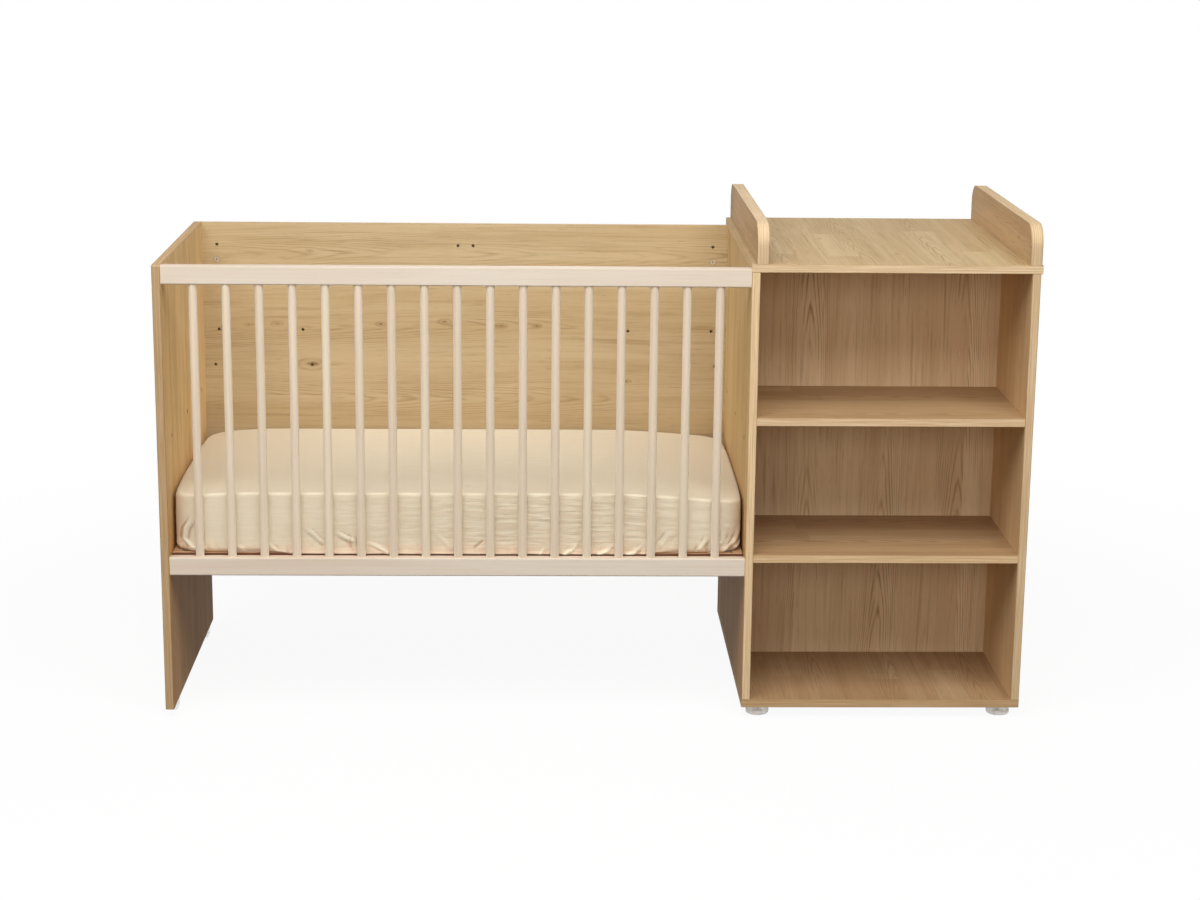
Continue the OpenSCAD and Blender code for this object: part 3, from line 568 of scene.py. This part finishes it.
def plain_wood(name, grain, timber, pale, shade, seed, front_shade=None, side=None):
    """Solid wood with straight grain along one axis, which may carry painted shade at its front,
    painted light at its sides and, when washed, painted shade on its tops.
    """
    recipe = Recipe(name)
    place, facing = recipe.place(), recipe.facing()
    first, second = [place[axis] for axis in (X, Y, Z) if axis != grain]
    along = place[grain] + seed
    clouds = recipe.grain(along * 1.8, first * 22, second * 22)
    first = first + (clouds - 0.5) * 0.012
    streaks = recipe.grain(along * 4, first * 260, second * 260, detail=4, roughness=0.6)
    pore = recipe.grain(along * 45, first * 1300, second * 1300, detail=2).ease(0.6, 0.72)
    clouded, streaked, pored, rough = timber
    masks = clouds.ease(0.35, 0.7) * clouded, streaks.ease(0.45, 0.75) * streaked, pore * pored
    body = recipe.paint(pale, *((mask, shade) for mask in masks))
    # Painted shade on the washed wood's up-facing tops
    if timber is WASHED:
        body = recipe.paint(body, (facing[Z].ease(0.15, 0.6), recipe.shade(body, TOP_SHADE)))
    # Painted light on the sides that face left and right
    if side is not None:
        body = recipe.paint(body, (abs(facing[X]).ease(0.4, 1.0) * 0.85, side))
    # Painted shade on the faces that look to the front
    if front_shade is not None:
        body = recipe.paint(body, (facing[Y].ease(-0.5, -0.8), front_shade))
    return recipe.finish(body, rough + streaks * 0.1, streaks * 0.4 - pore * 0.6, 0.0001)


def sheet_cloth(settings):
    """Fine crinkled cotton: a plain weave and creases along the mattress, with painted shade and
    highlights on its creases, sides, folds and hem.
    """
    recipe = Recipe("fitted_sheet_cotton")
    x, y, _ = recipe.split(recipe.node("ShaderNodeUVMap", {"uv_map": "cut"}))
    relief = recipe.node("ShaderNodeAttribute", {"attribute_name": "relief"}, output="Fac")
    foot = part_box("fitted_sheet")[0][Z]
    thread = 2 * math.pi / THREAD
    weave = recipe.math("SINE", x * thread) * recipe.math("SINE", y * thread)
    slubs = recipe.grain(x * 12, y * 420)
    creases = recipe.grain(x * 13, y * 135, detail=4, roughness=0.6)
    puckers = recipe.grain(x * 30, y * 75, 3.7)
    on_side = abs(recipe.facing()[Z]).ease(0.8, 0.35)
    # From left to right, the creases grow twice and then thin out
    crinkled = x.ease(-0.5, -0.15, 0.3, 0.9) + x.ease(-0.1, 0.12, 0.0, 0.7)
    crinkled = (crinkled - x.ease(0.36, 0.5, 0.0, 0.9)) * on_side.ease(0.0, 1.0, 0.3, 1.0)
    body = recipe.paint(
        settings.sheet,
        # Painted shade in the creases and where the cloth faces sideways
        (creases.ease(0.4, 0.6) * crinkled * 0.42 + on_side * 0.25, settings.sheet_shade),
        (slubs.ease(0.55, 0.8) * 0.3, settings.sheet_shade),
        # Painted shade and bounce light at the hem
        (recipe.place()[Z].ease(foot + HEM_TOP, foot + HEM_FULL) * 0.5, settings.sheet_hem_shade),
        # Painted shade in the fold grooves, and a painted highlight on the ridges
        (relief.ease(-0.0001, -0.0006) * 0.85, settings.sheet_fold_shade),
        (relief.ease(0.0012, 0.0028) * 0.8, toned(settings.sheet, 1.12)),
    )
    height = creases * crinkled + puckers * crinkled * 0.6 + weave * 0.05 + slubs * 0.06
    rough = 0.85 + weave * 0.05
    return recipe.finish(body, rough, height, 0.0017, strength=0.85, **{"Sheen Weight": 0.25})


def cover_knit(settings):
    """White knitted cover with small quilted diamonds."""
    recipe = Recipe("mattress_knit")
    place = recipe.place()
    diamond = 2 * math.pi / QUILT
    rising = recipe.math("SINE", (place[X] + place[Y]) * diamond)
    falling = recipe.math("SINE", (place[X] - place[Y]) * diamond)
    quilting = recipe.math("MINIMUM", abs(rising), abs(falling)) ** 0.5
    loops = recipe.grain(*place, detail=2, scale=700)
    shade = toned(settings.cover, 0.82)
    body = recipe.paint(settings.cover, (loops.ease(0.4, 0.7) * 0.5, shade))
    return recipe.finish(body, 0.9, quilting + loops * 0.08, 0.003)


def moulded_plastic(name, tone, rough, clear):
    """Moulded plastic with a fine spark texture and faint scuffs, which lets some light through."""
    recipe = Recipe(name)
    place = recipe.place()
    spark = recipe.grain(*place, detail=2, scale=1500)
    scuffs = recipe.grain(*place, detail=5, roughness=0.7, scale=60)
    body = recipe.paint(tone, (scuffs.ease(0.5, 0.75) * 0.6, toned(tone, 0.86)))
    rough = rough + scuffs * 0.15
    return recipe.finish(body, rough, spark, 0.00008, **{"Transmission Weight": clear})


def plated_metal(name, tone, cams=False):
    """Clouded, scratched zinc plate. Cam locks have a dark line round their rim and painted shade
    in their sunk slot.
    """
    recipe = Recipe(name)
    place = recipe.place()
    clouds = recipe.grain(*place, detail=4, scale=140)
    scratches = recipe.grain(place[X] * 300, place[Y] * 300, place[Z] * 2500)
    body = recipe.paint(tone, (clouds, toned(tone, 0.72)))
    if cams:
        low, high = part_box("crib_back_panel")
        half_x, half_z = (high[X] - low[X]) / 2, (high[Z] - low[Z]) / 2
        aside = abs(place[X] - (low[X] + half_x)) - (half_x - CAM_IN)
        above = abs(place[Z] - (low[Z] + half_z)) - (half_z - CAM_EDGE)
        line = abs((aside * aside + above * above) ** 0.5 - CAM_LINE).ease(0.0009, 0.0004)
        # Painted shade where the cam sinks more than a millimetre behind the board's front, in its
        # slot
        slot = (place[Y] - low[Y]).ease(0.001, 0.002)
        dark = recipe.most([line, slot]) * recipe.facing()[Y].ease(-0.7, -0.9) * 0.85
        body = recipe.paint(body, (dark, toned(tone, 0.25)))
    rough = 0.28 + clouds * 0.12 + scratches * 0.12
    return recipe.finish(body, rough, scratches, 0.00004, Metallic=0.4 if cams else 1.0)


def dress(nodes, material):
    """Gives CAD nodes one material."""
    for node in nodes:
        NODES[node].data.materials.clear()
        NODES[node].data.materials.append(material)


def named(stem):
    """The CAD nodes whose names start with a stem."""
    return sorted(node for node in NODES if node.startswith(stem))


# ---- Bedding ----


def smooth(value, start, end):
    """A smooth step from 0 at start to 1 at end."""
    part = min(max((value - start) / (end - start), 0.0), 1.0)
    return part * part * (3 - 2 * part)


def arched(share):
    """1 half way up, falling to 0 at the foot and at the top."""
    return math.sin(math.pi * min(max(share, 0.0), 1.0)) ** 0.7


def ripple(x, y, z, level, upright, shift=0.0):
    """Soft noise from -1 to 1, with so many waves in a metre along the floor and upright."""
    return noise.noise(Vector((x * level, y * level, z * upright + shift)))


class Bedding:
    """A padded block: a crowned top, rounded corners, bulging ends and a foot that rolls under.

    Its places count from the middle of its foot. A ring of the side is a zone and a share of it."""

    EVEN_ROWS = 0.25  # 1 spaces the top's rows evenly, 0 draws them to the front and the back
    UNDER_STEP = 0.009  # Distance between the rings under the foot
    FOOT_ROLL = 0.012  # Radius of the roll at the foot
    FALL_POWER, WALL_POWER = 1.4, 1.35  # How late the crown falls, how the wall's rings close up

    def __init__(self, settings, grow, foot, tuck, step):
        low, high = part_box("mattress")
        self.centre = Vector(((low[X] + high[X]) / 2, (low[Y] + high[Y]) / 2, foot))
        self.half_x = (high[X] - low[X]) / 2 + grow
        self.half_y = (high[Y] - low[Y]) / 2 + grow
        self.height = high[Z] + grow - foot
        self.corner = settings.corner + grow
        self.brim, self.end_brim = settings.brim, settings.end_brim
        self.tuck, self.step = tuck, step
        walls, unders = round(self.height / step), round(tuck / self.UNDER_STEP)
        self.rings = [
            (zone, part / count)
            for zone, count in zip(("brim", "wall", "roll", "under"), (4, walls, 4, unders))
            for part in range(1, count + 1)
        ]

    def rounded(self, x, y):
        """A point of a square from -1 to 1, drawn into the rounded top inside its brim."""
        y = self.EVEN_ROWS * y + (1 - self.EVEN_ROWS) * math.sin(y * math.pi / 2)
        x, y = x * (self.half_x - self.end_brim), y * (self.half_y - self.brim)
        over_x, over_y = self.past_corner(x, y)
        if over_x > 0 and over_y > 0:
            reach = max(over_x, over_y) / math.hypot(over_x, over_y)
            out_x = self.half_x - self.corner + over_x * reach * (self.corner - self.end_brim)
            out_y = self.half_y - self.corner + over_y * reach * (self.corner - self.brim)
            x, y = math.copysign(out_x, x), math.copysign(out_y, y)
        return Vector((x, y, 0))

    def past_corner(self, x, y):
        """How far a point is past the middle of its corner, in radii of the rim there."""
        over_x = (abs(x) - (self.half_x - self.corner)) / (self.corner - self.end_brim)
        over_y = (abs(y) - (self.half_y - self.corner)) / (self.corner - self.brim)
        return over_x, over_y

    def outward(self, start):
        """The direction away from the block at a point of its rim."""
        over_x, over_y = self.past_corner(start.x, start.y)
        if over_x > 0 and over_y > 0:
            away = Vector((math.copysign(over_x, start.x), math.copysign(over_y, start.y), 0))
            return away.normalized()
        if over_x > over_y:
            return Vector((math.copysign(1, start.x), 0, 0))
        return Vector((0, math.copysign(1, start.y), 0))

    def crown(self, x, y):
        """The top's height over the foot."""
        back = y / self.half_y
        at_front, at_middle, at_back = CROWN_LIFT
        slope, bend = (at_back - at_front) / 2, (at_back + at_front) / 2 - at_middle
        lift = at_middle + back * slope + back * back * bend
        fall_front, fall_back, reach = END_FALL[x > 0]
        fall = fall_front + (fall_back - fall_front) * (1 + back) / 2
        near_end = max(0.0, 1 - (self.half_x - abs(x)) / reach)
        return self.height + lift - fall * near_end ** self.FALL_POWER

    def bulged(self, point):
        """A point after the ends have swelled."""
        near_end = (min(abs(point.x) / self.half_x, 1)) ** 6
        aside = min(abs(point.y) / self.half_y, 1)
        at_top = END_SWELL[point.x > 0] * (1 - aside ** 3)
        at_middle = END_BELLY[point.x > 0] * (1 - aside ** 5)
        swell = at_top + (at_middle - at_top) * arched(point.z / self.height)
        return point + Vector((math.copysign(swell * near_end, point.x), 0, 0))

    def top(self, start):
        return self.bulged(Vector((start.x, start.y, self.crown(start.x, start.y))))

    def roll(self, start, away):
        """Radius of the foot's roll under a point of the rim, here the same all round."""
        return self.FOOT_ROLL

    def relief(self, start, away, zone, share, height, rim):
        """How far cloth stands out from the foam, how far it is lifted and how deep its fold is."""
        return 0.0, 0.0, 0.0

    def side(self, start, zone, share):
        """A ring's point under a point of the rim, the cloth's flat place there and its fold."""
        away = self.outward(start)
        rim = self.crown(start.x, start.y)
        roll = self.roll(start, away)
        turn = share * math.pi / 2
        edge = Vector((away.x * self.end_brim, away.y * self.brim, 0))
        drop = edge.length
        wall = rim - drop - roll
        inset, out = 0.0, 1.0
        if zone == "brim":
            height, out, run = rim - drop * (1 - math.cos(turn)), math.sin(turn), drop * turn
        elif zone == "wall":
            down = wall * (1 - (1 - share) ** self.WALL_POWER)
            height, run = rim - drop - down, drop * math.pi / 2 + down
        elif zone == "roll":
            height, inset = roll * (1 - math.sin(turn)), roll * (1 - math.cos(turn))
            run = drop * math.pi / 2 + wall + roll * turn
        else:
            height, inset = 0.0, roll + (self.tuck - roll) * share
            run = (drop + roll) * math.pi / 2 + wall + (self.tuck - roll) * share
        push, lift, fold = self.relief(start, away, zone, share, height, rim)
        point = start + edge * out + away * (push - inset) + Vector((0, 0, height + lift))
        return self.bulged(point), start + away * run, fold


class FittedSheet(Bedding):
    """The sheet over the block, with drag folds, a gathered hem and soft waves."""

    FOOT_ROLL, HANG_ROLL = 0.01, 0.009  # And how much smaller it is where the hem hangs
    HANG_OUT, HANG_DOWN, HANG_FADE = 0.0028, 0.0042, 0.007  # The hem's reach there
    TOP_WAVE, SIDE_WAVE, CRINKLE, RUFFLE = 0.0008, 0.0009, 0.0007, 0.0012  # Depth of soft waves
    BELLY, PRESSED = 0.0022, 0.0012  # How far the front stands out, and a groove goes in
    GATHER, GATHER_AT_END, GATHER_AT_CORNER = 0.0011, 0.0009, 0.0016  # Depth of the hem's pleats
    GATHER_TOP, GATHER_FULL = 0.034, 0.002  # Heights between which they grow
    FOLD_REACH = 0.06  # How far from a fold's bends it is looked for

    def top(self, start):
        point = super().top(start)
        wave = noise.noise(Vector((start.x * 5, start.y * 9, 1.3))) * self.TOP_WAVE
        from_front, from_end = self.half_y - abs(start.y), self.half_x - abs(start.x)
        point.z += wave * (smooth(from_front, 0.004, 0.05) * smooth(from_end, 0.004, 0.05))
        return point

    def middle(self, start, away):
        """1 along the middle of the front, where the hem hangs over the base's edge."""
        return smooth(-away.y, 0.9, 1.0) * smooth(abs(start.x - 0.02), 0.45, 0.37)

    def roll(self, start, away):
        return self.FOOT_ROLL - self.HANG_ROLL * self.middle(start, away)

    def relief(self, start, away, zone, share, height, rim):
        x, y = start.x, start.y
        if zone == "under":
            ruffle = 0.5 + 0.5 * ripple(x, y, share, 60, 6)
            return 0.0, self.RUFFLE * min(share * 4, 1) * ruffle, 0.0
        front = smooth(-away.y, 0.0, 0.3)
        under_brim = smooth(rim - height, self.brim, 0.03)
        right = smooth(x, -0.12, 0.05)
        push = self.SIDE_WAVE * under_brim * ripple(x, y, height, 9, 14)
        push += self.BELLY * front * arched(height / rim)
        push += self.CRINKLE * under_brim * right * ripple(x, y, height, 16, 110)
        fold = 0.0
        if front > 0:
            for depth, width, points in FRONT_FOLDS:
                fold += MM * depth * front * self.ridge(x, height, MM * width, points)
        hem = self.hem(x, y, away, height)
        push = max(push + fold + hem, -self.PRESSED)
        middle = self.middle(start, away)
        if zone == "roll":
            out = push * (1 - share) + self.HANG_OUT * middle * (1 - share)
            return out, -self.HANG_DOWN * middle * (1 - share) ** 5, fold + hem
        hang = math.exp(-max(height, 0) / self.HANG_FADE) * middle
        return push + self.HANG_OUT * hang, -self.HANG_DOWN * hang, fold + hem

    def hem(self, x, y, away, height):
        """Depth of the hem's pleats, which are deepest round the corners."""
        corner = smooth(abs(away.x), 0.0, 0.35) * smooth(abs(away.y), 0.0, 0.35)
        near_end = smooth(abs(x), self.half_x - 0.2, self.half_x - 0.05)
        pleat = 1 - 2.4 * abs(ripple(x, y, height, 48, 18, shift=2.0))
        depth = self.GATHER + self.GATHER_AT_END * near_end + self.GATHER_AT_CORNER * corner
        return depth * pleat * smooth(height, self.GATHER_TOP, self.GATHER_FULL)

    def ridge(self, x, height, width, points):
        """1 on a drag fold's ridge, falling to 0 beside it and towards its upper end."""
        nearest, along = None, 0.0
        for order in range(len(points) - 1):
            first, last = Vector(points[order]) * MM, Vector(points[order + 1]) * MM
            if min(abs(x - first.x), abs(x - last.x)) > self.FOLD_REACH:
                continue
            run, here = last - first, Vector((x, height)) - first
            part = min(max(here.dot(run) / run.length_squared, 0.0), 1.0)
            aside = (here - run * part).length
            if nearest is None or aside < nearest:
                nearest, along = aside, (order + part) / (len(points) - 1)
        if nearest is None or nearest > 3 * width:
            return 0.0
        off = (nearest / width) ** 2
        return (1 - off) * math.exp(-off / 1.3) * smooth(along, -0.1, 0.4)


def skin(mesh, bedding):
    """Lays a grid over a bedding's crown and draws its rim down the side and in under the foot.

    The flat cut of each point goes into the layer "cut", so that a weave follows the cloth."""
    layers = mesh.verts.layers
    layers.float_vector.new("cut")
    layers.float_vector.new("start")
    relief = layers.float.new("relief")
    # Adding a layer can move the others, so these are looked up once all are there
    cut, start = layers.float_vector["cut"], layers.float_vector["start"]
    columns = round(2 * bedding.half_x / bedding.step)
    rows = round(2 * bedding.half_y / (3.6 * bedding.step))
    grid = bmesh.ops.create_grid(mesh, x_segments=columns, y_segments=rows, size=1)
    for vert in grid["verts"]:
        vert[start] = vert[cut] = bedding.rounded(vert.co.x, vert.co.y)
        vert.co = bedding.top(vert[start])
    rim = [edge for edge in mesh.edges if edge.is_boundary]
    for zone, share in bedding.rings:
        made = bmesh.ops.extrude_edge_only(mesh, edges=rim)["geom"]
        rim = [item for item in made if isinstance(item, bmesh.types.BMEdge) and item.is_boundary]
        for vert in {vert for edge in rim for vert in edge.verts}:
            vert.co, vert[cut], vert[relief] = bedding.side(vert[start], zone, share)
    layers.float_vector.remove(start)
    bmesh.ops.translate(mesh, verts=mesh.verts, vec=bedding.centre)
    return rim


def new_piece(name, mesh, material, smoothed=True):
    """A finished piece from a bmesh, with the flat cut as its UV map."""
    cut = mesh.verts.layers.float_vector.get("cut")
    if cut is not None:
        flat = mesh.loops.layers.uv.new("cut")
        for face in mesh.faces:
            for loop in face.loops:
                loop[flat].uv = loop.vert[cut].xy
        mesh.verts.layers.float_vector.remove(cut)
    for face in mesh.faces:
        face.smooth = smoothed
    data = bpy.data.meshes.new(name)
    mesh.to_mesh(data)
    mesh.free()
    data.materials.append(material)
    piece = bpy.data.objects.new(name, data)
    bpy.context.scene.collection.objects.link(piece)
    return piece


# ---- Operators ----


class CRIB_OT_finish_boards(Operator):
    """Gives every board its oak surface, with the figure along its own grain"""

    bl_idname = "crib.finish_boards"
    bl_label = "Finish the Oak Boards"

    def execute(self, context):
        settings = context.scene.crib_oak
        for order, (node, board) in enumerate(BOARDS.items()):
            dress([node], OakBoard(node, board, settings, seed=1.7 * order + 0.4).material())
        return {"FINISHED"}


class CRIB_OT_finish_rails_and_bars(Operator):
    """Gives the rails and the bars their whitewashed wood"""

    bl_idname = "crib.finish_rails_and_bars"
    bl_label = "Finish the Rails and Bars"

    def execute(self, context):
        settings = context.scene.crib_pale
        shade, side = settings.wash_shade, settings.bar_side_light
        for order, node in enumerate(("top_rail", "bottom_rail")):
            wood = plain_wood("wash_" + node, X, WASHED, settings.wash, shade, seed=3.1 * order)
            dress([node], wood)
        for order, node in enumerate(named("bar_")):
            blush = 0.5 + 0.5 * math.sin(order * 2.4 + 1.0)
            tone = Vector(settings.bar).lerp(Vector(settings.bar_blush), blush)
            tone = tone * (FIRST_BAR - NEXT_BAR * order)
            wood = plain_wood("wash_" + node, Z, WASHED, tone, shade, seed=1.3 * order, side=side)
            dress([node], wood)
        return {"FINISHED"}


class CRIB_OT_finish_base(Operator):
    """Gives the slatted base its raw wood"""

    bl_idname = "crib.finish_base"
    bl_label = "Finish the Slatted Base"

    def execute(self, context):
        settings = context.scene.crib_pale
        pale, shade, front_shade = settings.slat, settings.slat_shade, settings.base_front_shade
        along = plain_wood("raw_rails", X, RAW, pale, shade, seed=0.7, front_shade=front_shade)
        dress(["base_front_rail", "base_rear_rail"], along)
        across = plain_wood("raw_slats", Y, RAW, pale, shade, seed=5.2)
        dress(["base_left_rail", "base_right_rail", "base_dowels", "dowels"], across)
        dress(named("slat_"), across)
        return {"FINISHED"}


class CRIB_OT_make_mattress(Operator):
    """Makes the foam mattress in its knitted cover, crowned and round at its corners"""

    bl_idname = "crib.make_mattress"
    bl_label = "Make the Mattress"

    def execute(self, context):
        settings = context.scene.crib_bedding
        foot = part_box("mattress")[0][Z] + UNDER_SHEET
        mesh = bmesh.new()
        rim = skin(mesh, Bedding(settings, grow=-IN_SHEET, foot=foot, tuck=0.03, step=0.012))
        bmesh.ops.contextual_create(mesh, geom=rim)
        bmesh.ops.recalc_face_normals(mesh, faces=mesh.faces)
        mattress = new_piece("mattress_body", mesh, cover_knit(settings))
        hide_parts("mattress")
        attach(mattress, "mattress")
        return {"FINISHED"}


class CRIB_OT_make_sheet(Operator):
    """Makes the fitted sheet over the mattress, with drag folds and gathers at its hem"""

    bl_idname = "crib.make_sheet"
    bl_label = "Make the Fitted Sheet"

    def execute(self, context):
        settings = context.scene.crib_bedding
        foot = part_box("fitted_sheet")[0][Z] + CLOTH / 2
        mesh = bmesh.new()
        step = settings.spacing
        skin(mesh, FittedSheet(settings, grow=OVER_FOAM, foot=foot, tuck=0.075, step=step))
        bmesh.ops.recalc_face_normals(mesh, faces=mesh.faces)
        sheet = new_piece("fitted_sheet_cloth", mesh, sheet_cloth(settings))
        shell = sheet.modifiers.new("Cloth thickness", "SOLIDIFY")
        shell.thickness = CLOTH
        shell.offset = 0
        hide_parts("fitted_sheet")
        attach(sheet, "mattress")
        return {"FINISHED"}


class CRIB_OT_finish_hardware(Operator):
    """Gives the feet, the glides and the fasteners their plastic and their plated metal"""

    bl_idname = "crib.finish_hardware"
    bl_label = "Finish the Feet and Fasteners"

    def execute(self, context):
        settings = context.scene.crib_hardware
        feet = [node for node in named("foot_") if node != "foot_screws"]
        dress(feet, moulded_plastic("foot_plastic", settings.foot, rough=0.42, clear=0.75))
        glides = moulded_plastic("glide_plastic", settings.glide, rough=0.3, clear=0.9)
        dress(["end_panel_glides"], glides)
        steel = ["base_support_pins", "cam_bolts", "rail_bolts", "barrel_nuts"]
        dress(steel + ["long_screws", "foot_screws"], plated_metal("zinc_plated", settings.zinc))
        dress(["cam_locks"], plated_metal("zinc_cams", settings.cam, cams=True))
        return {"FINISHED"}


class CRIB_OT_set_stage(Operator):
    """Sets the floor, the lamps and the camera"""

    bl_idname = "crib.set_stage"
    bl_label = "Set the Stage"

    def execute(self, context):
        settings = context.scene.crib_stage
        scene = context.scene
        scene.view_settings.view_transform = "Standard"
        self.set_camera(scene, settings)
        self.set_world(scene, settings)
        self.set_floor(settings)
        side, low, level = settings.side, math.radians(12), math.radians(2)
        for lamp in (
            ("key_softbox", side, settings.key_height, 4.8, (7.5, 3.2), settings.key_power),
            ("fill_softbox", side, low, 7.0, (5.0, 2.5), settings.fill_power),
            ("back_softbox", math.pi, level, 25.0, (2.0, 2.0), settings.back_power),
        ):
            self.set_lamp(scene, *lamp)
        return {"FINISHED"}

    def set_camera(self, scene, settings):
        camera = bpy.data.objects.new("camera", bpy.data.cameras.new("camera"))
        scene.collection.objects.link(camera)
        camera.data.lens = settings.lens
        turned = (
            Matrix.Rotation(-settings.turn, 4, "Z")
            @ Matrix.Rotation(math.pi / 2 - settings.tilt, 4, "X")
            @ Matrix.Rotation(settings.roll, 4, "Z")
        )
        camera.matrix_world = Matrix.Translation(settings.camera) @ turned
        scene.camera = camera

    def looked_at(self, recipe):
        """1 where the floor or the surround is only looked at, and lights nothing."""
        path = recipe.node("ShaderNodeLightPath").socket.node
        seen = ("Is Camera Ray", "Is Glossy Ray", "Is Transmission Ray")
        return recipe.most([Value(recipe, path.outputs[name]) for name in seen])

    def set_world(self, scene, settings):
        recipe = Recipe("studio", bpy.data.worlds)
        lit, white = [
            recipe.node("ShaderNodeBackground", sockets={"Color": (1, 1, 1), "Strength": strength})
            for strength in (settings.surround, 1.0)
        ]
        sockets = {0: self.looked_at(recipe), 1: lit, 2: white}
        mixed = recipe.node("ShaderNodeMixShader", sockets=sockets)
        recipe.node("ShaderNodeOutputWorld", sockets={"Surface": mixed})
        scene.world = recipe.owner

    def set_floor(self, settings):
        """A white floor that keeps a share of its own light and shade near the crib."""
        recipe = Recipe("studio_floor")
        looked_at = self.looked_at(recipe)
        place = recipe.place()
        away = (place[X] * place[X] + place[Y] * place[Y]) ** 0.5
        shaded = away.ease(settings.shadow_reach, SHADOW_WHOLE, 0.0, settings.shadow)
        tone = recipe.paint(settings.floor_bounce, (looked_at, settings.floor))
        paint = recipe.node("ShaderNodeBsdfDiffuse", sockets={"Color": tone})
        white = recipe.node("ShaderNodeEmission", sockets={"Color": (1, 1, 1), "Strength": 1.0})
        sockets = {0: looked_at * (1 - shaded), 1: paint, 2: white}
        mixed = recipe.node("ShaderNodeMixShader", sockets=sockets)
        recipe.node("ShaderNodeOutputMaterial", sockets={"Surface": mixed})
        mesh = bmesh.new()
        bmesh.ops.create_circle(mesh, cap_ends=True, segments=64, radius=FLOOR_RADIUS)
        new_piece("floor", mesh, recipe.owner, smoothed=False)

    def set_lamp(self, scene, name, side, height, distance, size, power):
        """An unseen soft lamp: its angles to the left of straight in front and above the floor,
        its distance from the crib's middle, which it faces, its size and its power."""
        centre = (Vector(CAD_BOUNDS[0]) + Vector(CAD_BOUNDS[1])) / 2
        level = math.cos(height)
        away = Vector((-level * math.sin(side), -level * math.cos(side), math.sin(height)))
        lamp = bpy.data.objects.new(name, bpy.data.lights.new(name, "AREA"))
        scene.collection.objects.link(lamp)
        lamp.data.shape = "RECTANGLE"
        lamp.data.size, lamp.data.size_y = size
        lamp.data.energy = power
        lamp.visible_camera = False
        lamp.location = centre + away * distance
        lamp.rotation_euler = away.to_track_quat("Z", "Y").to_euler()


class CRIB_PT_panel(Panel):
    """Lists the steps that dress the crib, and their settings"""

    bl_idname = "CRIB_PT_panel"
    bl_label = "Crib"
    bl_space_type = "VIEW_3D"
    bl_region_type = "UI"
    bl_category = "Crib"

    def draw(self, context):
        for operator, group in STEPS:
            box = self.layout.box()
            box.operator(operator)
            settings = getattr(context.scene, group)
            for name in settings.__annotations__:
                box.prop(settings, name)


# Each step in order, with the settings that it reads
STEPS = [
    ("crib.set_stage", "crib_stage"),
    ("crib.finish_boards", "crib_oak"),
    ("crib.finish_rails_and_bars", "crib_pale"),
    ("crib.finish_base", "crib_pale"),
    ("crib.make_mattress", "crib_bedding"),
    ("crib.make_sheet", "crib_bedding"),
    ("crib.finish_hardware", "crib_hardware"),
]
SETTINGS = {
    "crib_oak": CribOakSettings,
    "crib_pale": CribPaleSettings,
    "crib_bedding": CribBeddingSettings,
    "crib_hardware": CribHardwareSettings,
    "crib_stage": CribStageSettings,
}
CLASSES = [
    *SETTINGS.values(),
    CRIB_OT_finish_boards,
    CRIB_OT_finish_rails_and_bars,
    CRIB_OT_finish_base,
    CRIB_OT_make_mattress,
    CRIB_OT_make_sheet,
    CRIB_OT_finish_hardware,
    CRIB_OT_set_stage,
    CRIB_PT_panel,
]


def register():
    for item in CLASSES:
        bpy.utils.register_class(item)
    for name, group in SETTINGS.items():
        setattr(bpy.types.Scene, name, PointerProperty(type=group))


def unregister():
    for name in SETTINGS:
        delattr(bpy.types.Scene, name)
    for item in reversed(CLASSES):
        bpy.utils.unregister_class(item)


def main():
    register()
    bpy.ops.crib.set_stage()
    bpy.ops.crib.finish_boards()
    bpy.ops.crib.finish_rails_and_bars()
    bpy.ops.crib.finish_base()
    bpy.ops.crib.make_mattress()
    bpy.ops.crib.make_sheet()
    bpy.ops.crib.finish_hardware()


if __name__ == "__main__":
    main()
